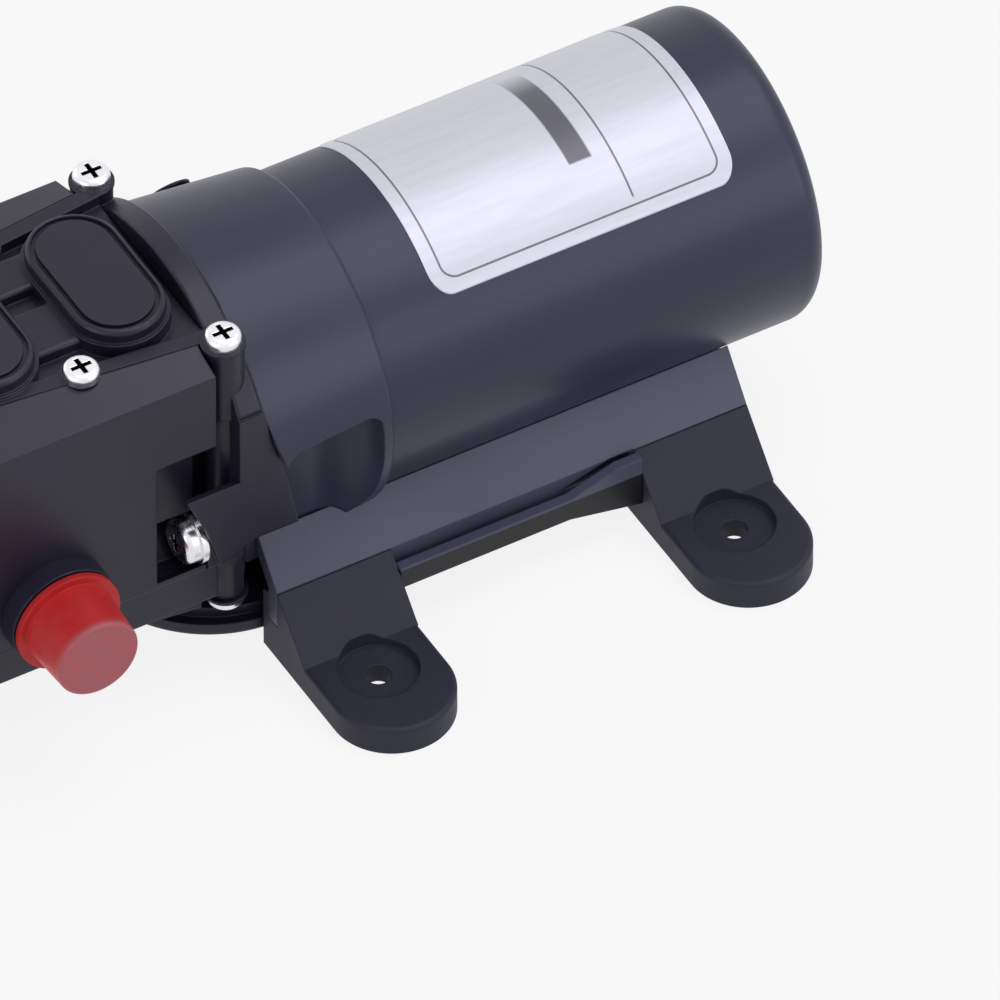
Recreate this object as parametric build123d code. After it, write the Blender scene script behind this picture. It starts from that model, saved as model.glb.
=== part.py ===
from build123d import *

import math
import os

# Small 12 V diaphragm water pump for a caravan: motor, drive housing, twin-diaphragm head,
# two side ports with dust caps, a pressure switch and a bracket on four rubber feet.
# Millimetres. X runs along the motor axis, from the pump head towards the motor's closed end.
# Z is up from the floor, and the origin is on the floor, midway between the four foot holes.

# Feet and their hole pattern
foot_pitch_x = 58.6
foot_hole_y = 37.0
foot_hole_r = 1.9
foot_counterbore_r = 6.0
foot_counterbore_depth = 1.4
foot_width = 18.6
foot_pad_thickness = 4.6
foot_inner_y = 20.4
foot_end_y = 50.2
foot_face_top_y = 24.4
foot_face_top_z = 13.1
foot_face_low_y = 32.2
foot_edge_r = 0.7

# Motor can, a drawn steel cup with its closed end at the rear
axis_z = 35.0
can_r = 24.0
can_wall = 1.6
can_rear_x = 52.6
can_length = 73.8
can_edge_r = 3.3
rear_cup_r = 6.8
rear_cup_depth = 2.0

# Front bell that closes the motor and carries the drive housing
bell_overlap = 1.6
bell_length = 20.8
bell_rear_r = 25.3
bell_front_r = 27.2
bell_bore_r = 16.2
bell_front_wall = 3.5
bell_edge_r = 0.8
bell_front_edge_r = 0.5
bell_shoulder_top_z = 38.6
bell_pocket_y = 18.6
bell_pocket_top_z = 41.2
bell_pocket_front_wall = 2.2
bell_pocket_rear_wall = 1.8
bell_pocket_corner_r = 3.0
bell_pocket_scoop_r = 8.0

# Motor inside
shaft_r = 2.5
magnet_thickness = 3.4
magnet_length = 50.0
magnet_angle = 130.0
magnet_rear_gap = 12.0
air_gap = 0.5
core_length = 46.0
slot_count = 12
slot_width = 2.4
slot_depth = 6.0
slot_floor_r = 9.0
coil_overhang = 6.5
coil_inner_r = 7.6
commutator_r = 6.6
commutator_length = 7.0
commutator_gap = 0.8
bearing_length = 5.0
bearing_wall = 2.6
running_gap = 0.04
brush_card_thickness = 1.6
brush_width = 4.0
brush_height = 4.6
brush_length = 5.4
brush_box_wall = 0.5
brush_gap = 0.15
brush_spring_thickness = 0.5

# Wire inlet on the far side of the bell
grommet_offset_x = 9.3
grommet_angle = 29.0
grommet_r = 2.7
grommet_bore_r = 1.9
grommet_lip = 0.6
grommet_lip_width = 0.4
grommet_sink = 0.3
grommet_length = 8.05

# Label around the top of the can
label_inset = 11.1
label_length = 49.6
label_angle = 96.0
label_thickness = 0.15
label_corner_r = 3.0

# Bracket under the motor: a saddle with two splayed legs
bracket_length = 77.2
bracket_sheet = 2.4
bracket_top_y = 18.95
bracket_top_drop = 14.85
bracket_seat_gap = 0.1
bracket_web_end_z = 6.6
bracket_skirt_end_z = 10.6
bracket_skirt_rear_x = 8.0
bracket_skirt_run = 8.0
rail_outer_y = 27.1
rail_sheet = 1.6
rail_top_z = 11.0
rail_bottom_z = 7.2
rail_drop = 2.6
bracket_screw_r = 1.45
bracket_screw_head_r = 2.9
bracket_screw_head = 1.8
bracket_screw_length = 4.2
bracket_screw_pitch = 40.0

# Round cap under the drive housing
under_cap_inset = 4.5
under_cap_r = 20.0
under_cap_bottom_z = 2.0
under_cap_step = 1.6
under_cap_step_height = 1.8
under_cap_neck_r = 7.0

# Drive housing flange between the motor and the head
flange_length = 4.0
screw_line_inset = 0.5
flange_r = 28.5
flange_edge_r = 0.5
neck_length = 3.0
neck_half_y = 16.2
neck_half_z = 19.0
post_y = 18.85
post_r = 2.65
post_cover = 0.6
post_boss_r = 3.1
post_boss_height = 12.3
lower_post_half_z = 22.6
lug_inner_y = 15.8
lug_length = 4.7
lug_top_drop = 4.0
lug_side_drop = 12.4
lug_tip_drop = 19.0
web_y = 24.4
web_thickness = 1.0
web_front_reach = 3.9
web_front_rise = 3.0
web_step_reach = 0.8
web_tip_inset = 1.5
web_tip_drop = 11.8
web_low_drop = 9.1
web_heel = 2.6
web_upper_reach = 1.35
web_upper_rise = 8.3
web_middle_reach = 3.6
web_middle_rise = 0.6
web_rear_reach = 5.45
side_screw_y = 20.0
side_screw_drop = 8.6
side_screw_r = 1.95
side_screw_head_r = 3.6
side_screw_head = 2.4
side_screw_washer_r = 4.1
side_screw_washer = 1.0
side_screw_grip = 10.8

# Pump body and the stack of plates above and below it
body_length = 42.0
body_half_y = 23.0
body_shoulder_half_z = 24.3
deck_half_z = 12.8
plate_half_z = 19.0
cover_height = 7.2
cover_rear_half_y = 17.7
cover_front_half_y = 13.1
cover_gap = 0.15
chamber_inset = 17.15
crank_chamber_r = 10.8
crank_bore_r = 9.0
side_recess_length = 9.8
side_recess_y = 15.4
side_recess_top_half_z = 10.7
side_recess_r = 4.4
side_recess_upper_y = 19.2

# Diaphragms, pistons and yoke
diaphragm_rim = 2.3
diaphragm_thickness = 1.5
diaphragm_bore_r = 2.0
stroke = 1.0
pump_chamber_depth = 3.3
piston_plate_r = 5.2
piston_plate_thickness = 1.2
piston_screw_r = 1.45
yoke_width = 6.0
yoke_wall = 1.9
cam_bearing_r = 7.0
cam_bearing_bore_r = 3.6
cam_bearing_width = 5.0
cam_hub_r = 5.2
cam_hub_length = 5.0
grub_r = 1.5
part_gap = 0.1
move_gap = 0.3

# Valves
valve_offset = 7.6
valve_r = 2.6
valve_thickness = 0.8
valve_stem_r = 0.6
valve_head_r = 1.0
valve_port_r = 0.45
valve_port_ring_r = 1.7
valve_port_count = 6
valve_room = 0.4

# Cover with its two racetrack domes
cover_floor_height = 5.4
cover_rim_width = 2.4
cover_ear_r = 3.3
cover_wall = 2.0
dome_offset = 10.65
dome_length = 26.1
dome_width = 14.3
dome_rise = 4.3
dome_step = 0.6
dome_step_rise = 2.2
dome_groove = 0.85
dome_groove_depth = 0.7
dome_edge_r = 0.8
bridge_edges_y = ((-8.6, 0.6), (4.2, 11.2))
bridge_rise = 1.9
bridge_edge_r = 0.8
seal_section = 1.2
seal_depth = 0.9
seal_offset = 0.1

# Cover screws: M3 pan heads, three pairs above and three below
cover_screw_mid_y = 14.85
cover_screw_inset = 4.2
cover_screw_front_y = 11.0
cover_screw_r = 1.45
cover_screw_hole_r = 1.52
cover_screw_head_r = 2.75
cover_screw_head = 1.9
cover_screw_length = 18.0
recess_width = 0.75
recess_length = 3.2
recess_depth = 1.1

# Side ports, each with a pull-off dust cap
port_inset = 26.6
port_drop = 7.2
port_ring_r = 8.4
port_ring_thickness = 3.3
port_plug_r = 4.6
port_plug_length = 8.4
port_spigot_r = 4.7
port_barb_r = 5.05
port_barb_count = 2
port_barb_pitch = 3.2
port_spigot_length = 8.1
port_bore_r = 3.1
gallery_r = 1.6
gallery_offset = 1.2
o_ring_section = 1.4
cap_flange_r = 8.2
cap_flange_thickness = 1.0
cap_base_r = 6.95
cap_end_r = 6.4
cap_end_gap = 1.8
cap_wall = 1.2

# Pressure switch on the front end of the head
switch_drop = 3.0
switch_base_half_y = 14.8
switch_base_half_z = 11.2
switch_base_thickness = 3.2
switch_chamber_r = 6.4
switch_body_half_y = 8.8
switch_body_half_z = 10.0
switch_body_length = 13.0
switch_wall = 1.8
switch_corner_r = 2.4
switch_diaphragm_r = 8.0
switch_diaphragm_thickness = 0.9
plunger_r = 2.6
plunger_foot_r = 5.0
plunger_foot = 1.4
plunger_travel = 0.8
spring_wire = 0.7
micro_switch_length = 3.4
micro_switch_half_z = 3.2
micro_switch_half_y = 6.6
terminal_width = 4.8
terminal_thickness = 0.8
terminal_length = 8.0
terminal_spread = 5.0
adjuster_r = 2.2
adjuster_length = 3.4
adjuster_rise = 6.2
switch_screw_r = 1.45
switch_screw_head_r = 2.6
switch_screw_head = 1.8
switch_screw_inset = 2.9
switch_screw_grip = 8.0

# One overrun for every cut that has to break through
overrun = 1.0


# Places worked out from the sizes above
can_front_x = can_rear_x - can_length
bell_rear_x = can_front_x + bell_overlap
bell_front_x = bell_rear_x - bell_length
label_front_x = bell_rear_x + label_inset
bracket_top_z = axis_z - bracket_top_drop
under_cap_x = bell_front_x + under_cap_inset
flange_front_x = bell_front_x - flange_length
screw_line_x = flange_front_x + screw_line_inset
lug_front_x = flange_front_x - lug_length
lug_top_z = axis_z - lug_top_drop
lug_side_z = axis_z - lug_side_drop
lug_tip_z = axis_z - lug_tip_drop
lug_outer_y = web_y - web_thickness
web_low_z = axis_z - web_low_drop
web_top_z = axis_z + math.sqrt(flange_r ** 2 - web_y ** 2)
side_screw_z = axis_z - side_screw_drop
body_rear_x = flange_front_x - neck_length
body_front_x = body_rear_x - body_length
chamber_x = body_rear_x - chamber_inset
dome_rear_x = chamber_x + dome_offset
dome_front_x = chamber_x - dome_offset
cover_screw_front_x = body_front_x + cover_screw_inset
port_x = body_rear_x - port_inset
port_z = axis_z - port_drop
port_ring_end_y = body_half_y + port_ring_thickness
port_plug_inner_y = body_half_y - port_plug_length
port_end_y = port_ring_end_y + port_spigot_length
gallery_y = port_plug_inner_y - gallery_offset
cap_end_y = port_end_y + cap_end_gap
switch_z = axis_z - switch_drop
half_foot_x = foot_pitch_x / 2
shaft_front_x = chamber_x - cam_bearing_width / 2 - cam_hub_length / 2
cover_top_half_z = plate_half_z + cover_height
cover_floor_half_z = plate_half_z + cover_floor_height
dome_top_half_z = cover_floor_half_z + dome_rise
dome_step_half_z = cover_floor_half_z + dome_step_rise
bridge_half_z = cover_floor_half_z + bridge_rise
post_half_z = cover_top_half_z - post_cover
lower_seat_half_z = lower_post_half_z + post_cover
under_cap_height = axis_z - dome_top_half_z - part_gap - under_cap_bottom_z
pump_chamber_r = valve_offset + valve_r + valve_room
diaphragm_r = pump_chamber_r + diaphragm_rim
diaphragm_half_z = deck_half_z + diaphragm_thickness
chamber_roof_half_z = diaphragm_half_z + pump_chamber_depth
leg_slope = math.atan2(bracket_top_z - foot_face_top_z, foot_face_top_y - bracket_top_y)


def block(x, y, z):
    """A box between three (low, high) pairs."""
    size = [high - low for low, high in (x, y, z)]
    middle = [(high + low) / 2 for low, high in (x, y, z)]
    return Pos(*middle) * Box(*size)


def rod_x(x_low, x_high, radius, y=0.0, z=axis_z):
    """A cylinder along X."""
    middle = (x_low + x_high) / 2
    return Pos(middle, y, z) * Rot(0, 90, 0) * Cylinder(radius, x_high - x_low)


def rod_y(y_low, y_high, radius, x, z):
    """A cylinder along Y."""
    middle = (y_low + y_high) / 2
    return Pos(x, middle, z) * Rot(90, 0, 0) * Cylinder(radius, y_high - y_low)


def rod_z(z_low, z_high, radius, x, y):
    """A cylinder along Z."""
    middle = (z_low + z_high) / 2
    return Pos(x, y, middle) * Cylinder(radius, z_high - z_low)


def cone_x(x_low, x_high, radius_low, radius_high, y=0.0, z=axis_z):
    """A cone frustum along X, from its radius at the low X to that at the high X."""
    middle = (x_low + x_high) / 2
    return Pos(middle, y, z) * Rot(0, 90, 0) * Cone(radius_low, radius_high, x_high - x_low)


def prism_x(points_yz, x_low, x_high):
    """A prism along X over an outline given as (Y, Z) points."""
    outline = Polyline(*[(x_low, y, z) for y, z in points_yz], close=True)
    return extrude(make_face(outline), amount=x_high - x_low, dir=(1, 0, 0))


def prism_y(points_xz, y_low, y_high):
    """A prism along Y over an outline given as (X, Z) points."""
    outline = Polyline(*[(x, y_low, z) for x, z in points_xz], close=True)
    return extrude(make_face(outline), amount=y_high - y_low, dir=(0, 1, 0))


def prism_z(points_xy, z_low, z_high):
    """A prism along Z over an outline given as (X, Y) points."""
    outline = Polyline(*[(x, y, z_low) for x, y in points_xy], close=True)
    return extrude(make_face(outline), amount=z_high - z_low, dir=(0, 0, 1))


def mirrored_y(shape):
    """The same shape on the far side of the pump."""
    return mirror(shape, about=Plane.XZ)


def mirrored_z(shape):
    """The same shape under the motor axis."""
    return mirror(shape, about=Plane.XY.offset(axis_z))


def racetrack(x, half_low, half_high, length, width):
    """An upright prism, rounded at both ends, that runs across the pump above the axis."""
    outline = Pos(x, 0, axis_z + half_low) * Rot(0, 0, 90) * SlotOverall(length, width)
    return extrude(outline, amount=half_high - half_low, dir=(0, 0, 1))


def save(name, shape):
    """Writes one node to its own file."""
    export_step(shape, f"parts/{name}.step")


def pan_screw(head_r, head, shank_r, length):
    """A cross-head screw at the origin, its shank down and its head's seat at Z zero."""
    crown = Pos(0, 0, head / 2) * Cylinder(head_r, head)
    crown = fillet(crown.edges().group_by(Axis.Z)[-1], head / 2)
    shank = Pos(0, 0, -length / 2) * Cylinder(shank_r, length)
    slot = Pos(0, 0, head - recess_depth / 2)
    cross = slot * Box(recess_length, recess_width, recess_depth)
    cross += slot * Box(recess_width, recess_length, recess_depth)
    return crown + shank - cross


# Motor

def motor_can():
    """Drawn steel cup: open towards the bell, with a bearing cup pressed out of its end."""
    can = rod_x(can_front_x, can_rear_x, can_r)
    can = fillet(can.edges().group_by(Axis.X)[-1], can_edge_r)
    cup = rod_x(can_rear_x, can_rear_x + rear_cup_depth, rear_cup_r)
    inside_r = can_r - can_wall
    inner = rod_x(can_front_x - overrun, can_rear_x - can_wall, inside_r)
    inner = fillet(inner.edges().group_by(Axis.X)[-1], can_edge_r - can_wall)
    cup_inside = rod_x(can_rear_x - can_wall - overrun, can_rear_x + rear_cup_depth - can_wall,
                       shaft_r + bearing_wall)
    can = can + cup - inner - cup_inside
    for x in bracket_screw_places():
        can -= rod_z(0, axis_z, bracket_screw_r + part_gap / 2, x, 0)
    return can


def front_bell():
    """Bell casting: tapered outside, pockets low on both sides, hole for the wires."""
    bell = cone_x(bell_front_x, bell_rear_x, bell_front_r, bell_rear_r)
    bell = fillet(bell.edges().group_by(Axis.X)[-1], bell_edge_r)
    bell = fillet(bell.edges().group_by(Axis.X)[0], bell_front_edge_r)
    bell -= rod_x(bell_front_x + bell_front_wall, bell_rear_x + overrun, bell_bore_r)
    bell -= rod_x(can_front_x, bell_rear_x + overrun, can_r)
    bell -= rod_x(bell_front_x - overrun, bell_rear_x, shaft_r + bearing_wall)
    near = bell_pocket() + bell_shoulder()
    near += prism_y(web_outline(part_gap), -bell_front_r - overrun, -lug_outer_y + part_gap)
    bell -= near
    bell -= mirrored_y(near)
    for side in (-1, 1):
        bell -= rod_x(bell_front_x - overrun, bell_front_x + bell_front_wall + overrun,
                      side_screw_r + part_gap / 2, side * side_screw_y, side_screw_z)
    bell -= bracket_envelope()
    return bell - grommet_axis() * Cylinder(grommet_r, bell_front_r)


def bell_pocket():
    """Pocket low on the near side: round upper corners, and a floor that scoops out to the surface behind."""
    x_pair = (bell_front_x + bell_pocket_front_wall, bell_rear_x - bell_pocket_rear_wall)
    y_pair = (-bell_front_r - overrun, -bell_pocket_y)
    side = block(x_pair, y_pair, (0, bell_pocket_top_z))
    side = fillet(side.edges().filter_by(Axis.Y).group_by(Axis.Z)[-1], bell_pocket_corner_r)
    plan = block(x_pair, y_pair, (0, bell_pocket_top_z))
    inner_edges = plan.edges().filter_by(Axis.Z).group_by(Axis.Y)[-1]
    plan = fillet(inner_edges.sort_by(Axis.X)[-1], bell_pocket_scoop_r)
    return side & plan


def bell_shoulder():
    """What is cut from the bell's front wall on the near side, outside the ear for the screw."""
    outer = bell_front_r + overrun
    outline = [(-bell_pocket_y, 0), (-bell_pocket_y, bracket_top_z), (-lug_outer_y + part_gap, web_low_z),
               (-lug_outer_y + part_gap, bell_shoulder_top_z), (-outer, bell_shoulder_top_z), (-outer, 0)]
    return prism_x(outline, bell_front_x - overrun, bell_front_x + bell_front_wall + part_gap)


def grommet_axis():
    """The place of the wire hole on the bell's far side, above the pocket, with Z pointing outwards."""
    angle = math.radians(grommet_angle)
    place = Pos(bell_rear_x - grommet_offset_x, bell_front_r * math.cos(angle),
                axis_z + bell_front_r * math.sin(angle))
    return place * Rot(grommet_angle - 90, 0, 0)


def wire_grommet():
    """Rubber grommet in the wire hole, with a lip outside the bell."""
    lip = Cylinder(grommet_r + grommet_lip, grommet_lip_width)
    lip = Pos(0, 0, -grommet_sink - grommet_lip_width / 2) * lip
    sleeve = Pos(0, 0, -grommet_sink - grommet_length / 2) * Cylinder(grommet_r - part_gap, grommet_length)
    hole = Cylinder(grommet_bore_r, bell_front_r)
    return grommet_axis() * (sleeve + lip - hole)


def rating_label():
    """Thin label round the top of the can, with round corners."""
    skin = rod_x(label_front_x, label_front_x + label_length, can_r + label_thickness)
    skin -= rod_x(label_front_x - overrun, label_front_x + label_length + overrun, can_r)
    half_y = can_r * math.sin(math.radians(label_angle / 2))
    plan = Rectangle(label_length, 2 * half_y)
    plan = fillet(plan.vertices(), label_corner_r)
    middle_x = label_front_x + label_length / 2
    window = extrude(Pos(middle_x, 0, axis_z) * plan, amount=can_r + overrun)
    return skin & window


def magnet_front_x():
    return can_rear_x - magnet_rear_gap - magnet_length


def magnets():
    """Two arc magnets inside the can, one above and one below the armature."""
    front = magnet_front_x()
    rear = front + magnet_length
    outer_r = can_r - can_wall - running_gap
    ring = rod_x(front, rear, outer_r)
    ring -= rod_x(front - overrun, rear + overrun, outer_r - magnet_thickness)
    reach = can_r + overrun
    half = math.radians(magnet_angle / 2)
    side = reach * math.sin(half)
    drop = reach * math.cos(half)
    wedge = prism_x([(0, axis_z), (side, axis_z + drop), (side, axis_z + reach),
                     (-side, axis_z + reach), (-side, axis_z + drop)], front, rear)
    upper = ring & wedge
    return Compound([upper, mirrored_z(upper)])


def core_r():
    return can_r - can_wall - running_gap - magnet_thickness - air_gap


def core_front_x():
    return magnet_front_x() + (magnet_length - core_length) / 2


def armature_core():
    """Slotted iron stack on the shaft."""
    front = core_front_x()
    core = rod_x(front, front + core_length, core_r())
    core -= rod_x(front - overrun, front + core_length + overrun, shaft_r)
    return core - slot_bars(front - overrun, front + core_length + overrun, 0.0)


def slot_bars(x_low, x_high, gap):
    """The bars that fill the core's slots, made smaller all round by a gap."""
    bars = []
    low = slot_floor_r + gap
    high = slot_floor_r + slot_depth - gap
    for index in range(slot_count):
        bar = block((x_low, x_high), (-slot_width / 2 + gap, slot_width / 2 - gap),
                    (axis_z + low, axis_z + high))
        bars.append(bar.rotate(Axis((0, 0, axis_z), (1, 0, 0)), index * 360 / slot_count))
    return bars


def armature_windings():
    """Copper in the slots and in the two bundles at the core's ends."""
    front = core_front_x()
    rear = front + core_length
    outer_r = slot_floor_r + slot_depth - part_gap
    ends = []
    spans = ((front - coil_overhang, front - part_gap), (rear + part_gap, rear + coil_overhang))
    for low, high in spans:
        ring = rod_x(low, high, outer_r)
        ring = fillet(ring.edges(), coil_overhang / 4)
        ends.append(ring - rod_x(low - overrun, high + overrun, coil_inner_r))
    winding = ends[0] + ends[1]
    for bar in slot_bars(front - coil_overhang / 2, rear + coil_overhang / 2, part_gap):
        winding += bar
    return winding


def commutator_rear_x():
    return core_front_x() - coil_overhang - commutator_gap


def commutator():
    """Copper barrel that the brushes press on."""
    rear = commutator_rear_x()
    barrel = rod_x(rear - commutator_length, rear, commutator_r)
    return barrel - rod_x(rear - commutator_length - overrun, rear + overrun, shaft_r)


def motor_shaft():
    """Steel shaft from the rear cup to the eccentric."""
    shaft = rod_x(shaft_front_x, can_rear_x + rear_cup_depth - can_wall - part_gap, shaft_r)
    return chamfer(shaft.edges().group_by(Axis.X)[0], shaft_r / 8)


def bearing(x_low):
    """Plain sintered bush, a press fit in its seat and a running fit on the shaft."""
    bush = rod_x(x_low, x_low + bearing_length, shaft_r + bearing_wall)
    return bush - rod_x(x_low - overrun, x_low + bearing_length + overrun, shaft_r + running_gap)


def brush_card_x():
    brush_front = commutator_rear_x() - commutator_length / 2 - brush_height / 2
    return brush_front - brush_card_thickness - brush_box_wall - part_gap


def brush_card():
    """Insulating card that carries the brush boxes, seated on the bell's inner wall."""
    front = brush_card_x()
    card = rod_x(front, front + brush_card_thickness, bell_bore_r - part_gap)
    card -= rod_x(front - overrun, front + brush_card_thickness + overrun, commutator_r + air_gap)
    legs = []
    seat = bell_front_x + bell_front_wall + part_gap
    for side in (-1, 1):
        leg_z = axis_z + side * (bell_bore_r + commutator_r) / 2
        legs.append(rod_x(seat, front, shaft_r, 0, leg_z))
    return card + legs[0] + legs[1]


def brush_outline(grow, y_low, y_high):
    """The block of one near-side brush, made larger across by a wall."""
    x_mid = commutator_rear_x() - commutator_length / 2
    half_x = brush_height / 2 + grow
    half_z = brush_width / 2 + grow
    return block((x_mid - half_x, x_mid + half_x), (y_low, y_high), (axis_z - half_z, axis_z + half_z))


def brushes():
    """Two carbon blocks, one each side of the commutator."""
    inner = commutator_r + brush_gap
    near = brush_outline(0, -inner - brush_length, -inner)
    near -= rod_x(commutator_rear_x() - commutator_length, commutator_rear_x(), commutator_r + brush_gap)
    return Compound([near, mirrored_y(near)])


def brush_boxes():
    """Brass guides around the brushes, standing on the card."""
    inner = commutator_r + air_gap + brush_gap
    outer = bell_bore_r - part_gap - brush_spring_thickness
    near = brush_outline(brush_box_wall + part_gap, -outer, -inner)
    near -= brush_outline(part_gap, -outer - overrun, -inner + overrun)
    return Compound([near, mirrored_y(near)])


def brush_springs():
    """A strip bent into a U behind each brush, which keeps it on the commutator."""
    back = commutator_r + brush_gap + brush_length + part_gap
    outer = bell_bore_r - part_gap
    thick = brush_spring_thickness
    x_mid = commutator_rear_x() - commutator_length / 2
    half_x = brush_height / 2 - brush_box_wall
    reach = brush_width / 2 - part_gap
    near = block((x_mid - half_x, x_mid + half_x), (-outer, -back), (axis_z - reach, axis_z + reach))
    near -= block((x_mid - half_x - overrun, x_mid + half_x + overrun), (-outer + thick, -back - thick),
                  (axis_z - reach + thick, axis_z + reach + overrun))
    return Compound([near, mirrored_y(near)])


# Bracket, feet and the round cap below

def leg_profile(grow):
    """Outline of the near leg in (Y, Z), larger all round by a clearance."""
    along_y = math.cos(leg_slope)
    along_z = math.sin(leg_slope)
    top_y = -bracket_top_y + grow * along_y
    top_z = bracket_top_z + grow * along_z
    top = (top_y - grow * along_z, top_z + grow * along_y)
    inner_top = (top_y + (bracket_sheet + grow) * along_z, top_z - (bracket_sheet + grow) * along_y)
    knee = (-foot_face_top_y - grow, foot_face_top_z)
    inner_y = -foot_face_top_y + bracket_sheet + grow
    inner_knee = (inner_y, inner_top[1] + (inner_y - inner_top[0]) * along_z / along_y)
    foot_end = bracket_web_end_z - grow
    return [top, knee, (knee[0], foot_end), (inner_y, foot_end), inner_knee, inner_top]


def bracket_envelope():
    """The space that the legs need beside the bell."""
    half = bracket_length / 2 + part_gap
    near = prism_x(leg_profile(part_gap), -half, half)
    return near + mirrored_y(near)


def skirt_cut(low_z):
    """What is cut from the near leg between the feet, down to the skirt's lower edge."""
    foot_side = half_foot_x - foot_width / 2
    knee_z = foot_face_top_z
    outline = [(-foot_side + part_gap, bracket_web_end_z - overrun),
               (-foot_side + part_gap, low_z),
               (bracket_skirt_rear_x, low_z),
               (bracket_skirt_rear_x + bracket_skirt_run, knee_z),
               (foot_side - part_gap, knee_z),
               (foot_side - part_gap, bracket_web_end_z - overrun)]
    return prism_y(outline, -foot_end_y, 0)


def bracket_rail():
    """The low lip outside the near leg, between the feet, joined to it by a floor."""
    foot_side = half_foot_x - foot_width / 2
    rise = foot_face_top_z - bracket_skirt_end_z
    side = [(-foot_side + part_gap, rail_bottom_z),
            (-foot_side + part_gap, rail_top_z),
            (bracket_skirt_rear_x, rail_top_z),
            (bracket_skirt_rear_x + bracket_skirt_run, rail_top_z + rise),
            (foot_side - part_gap, rail_top_z + rise),
            (foot_side - part_gap, rail_bottom_z - rail_drop),
            (bracket_skirt_rear_x, rail_bottom_z)]
    lip = prism_y(side, -rail_outer_y, -rail_outer_y + rail_sheet)
    span = (-foot_side + part_gap, foot_side - part_gap)
    inner_y = -foot_face_top_y + bracket_sheet
    floor = block(span, (-rail_outer_y, inner_y), (rail_bottom_z, rail_bottom_z + rail_sheet))
    web = block(span, (-foot_face_top_y, inner_y), (rail_bottom_z, bracket_skirt_end_z))
    return lip + floor + web


def base_bracket():
    """Saddle and splayed legs in one piece, hollow between the legs."""
    half = bracket_length / 2
    near = prism_x(leg_profile(0), -half, half)
    near -= skirt_cut(bracket_skirt_end_z)
    near += bracket_rail()
    saddle = rod_x(bell_rear_x + part_gap, half, can_r + bracket_seat_gap + bracket_sheet)
    saddle &= block((-half, half), (-bracket_top_y, bracket_top_y), (0, bracket_top_z))
    bracket = saddle + near + mirrored_y(near)
    bracket -= rod_x(can_front_x - overrun, half + overrun, can_r + bracket_seat_gap)
    for x in bracket_screw_places():
        bracket -= rod_z(0, axis_z, bracket_screw_r + part_gap / 2, x, 0)
    return bracket


def bracket_screw_places():
    middle = (bell_rear_x + bracket_length / 2) / 2
    return (middle - bracket_screw_pitch / 2, middle + bracket_screw_pitch / 2)


def bracket_seat_z():
    return axis_z - can_r - bracket_seat_gap - bracket_sheet


def bracket_screws():
    """Screws up through the saddle into the can."""
    screws = []
    one = pan_screw(bracket_screw_head_r, bracket_screw_head, bracket_screw_r, bracket_screw_length)
    for x in bracket_screw_places():
        screws.append(Pos(x, 0, bracket_seat_z() - part_gap) * Rot(180, 0, 0) * one)
    return screws


def rubber_foot():
    """Rubber foot of the near front corner: a boot over the leg, and a pad with a screw hole."""
    x = -half_foot_x
    half = foot_width / 2
    pad_end = foot_end_y - half
    pad = block((x - half, x + half), (-pad_end, -foot_inner_y), (0, foot_pad_thickness))
    pad += rod_z(0, foot_pad_thickness, half, x, -pad_end)
    top_edges = pad.edges().group_by(Axis.Z)[-1]
    pad = fillet(top_edges, foot_edge_r)
    boot = prism_x([(-foot_face_top_y - part_gap, foot_face_top_z - part_gap),
                    (-foot_face_low_y, foot_pad_thickness - part_gap),
                    (-foot_face_low_y, foot_pad_thickness / 2),
                    (-foot_inner_y, foot_pad_thickness / 2),
                    (-foot_inner_y, foot_face_top_z - bracket_sheet)], x - half, x + half)
    foot = pad + boot
    slot = prism_x(leg_profile(part_gap), x - half - overrun, x + half + overrun)
    slot += block((x - half - overrun, x + half + overrun),
                  (-foot_face_top_y - part_gap, -foot_face_top_y + bracket_sheet + part_gap),
                  (bracket_web_end_z - part_gap, foot_face_top_z))
    foot -= slot
    foot -= rod_z(-overrun, foot_pad_thickness + overrun, foot_hole_r, x, -foot_hole_y)
    foot -= rod_z(foot_pad_thickness - foot_counterbore_depth, foot_pad_thickness + overrun,
                  foot_counterbore_r, x, -foot_hole_y)
    return foot


def under_cap():
    """Shallow round cap under the drive housing, with a neck up to the flange."""
    low = under_cap_bottom_z
    disc = rod_z(low, low + under_cap_height - under_cap_step_height, under_cap_r, under_cap_x, 0)
    disc = fillet(disc.edges().group_by(Axis.Z)[0], under_cap_step / 2)
    disc += rod_z(low, low + under_cap_height, under_cap_r - under_cap_step, under_cap_x, 0)
    neck = rod_z(low + under_cap_step, axis_z, under_cap_neck_r, under_cap_x, 0)
    taper = (bell_front_r - bell_rear_r) * under_cap_neck_r / bell_length
    neck -= cone_x(bell_front_x - under_cap_neck_r, bell_rear_x + under_cap_neck_r,
                   bell_front_r + part_gap + taper, bell_rear_r + part_gap - taper)
    neck -= rod_x(-can_length * 2, bell_front_x + part_gap, flange_r + part_gap)
    return disc + neck


# Drive housing

def web_outline(gap):
    """Outline in (X, Z) of the flat web on the flange's side, larger behind and below by a gap."""
    return [(lug_front_x - web_front_reach, axis_z + web_front_rise),
            (flange_front_x, axis_z + web_front_rise),
            (flange_front_x, web_top_z),
            (bell_front_x + gap, web_top_z),
            (bell_front_x + web_upper_reach + gap, axis_z + web_upper_rise),
            (bell_front_x + web_middle_reach + gap, axis_z + web_middle_rise),
            (bell_front_x + web_rear_reach + gap, web_low_z - gap),
            (flange_front_x + web_heel, web_low_z - gap),
            (lug_front_x + web_tip_inset, axis_z - web_tip_drop),
            (lug_front_x - web_step_reach, lug_top_z)]


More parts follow.
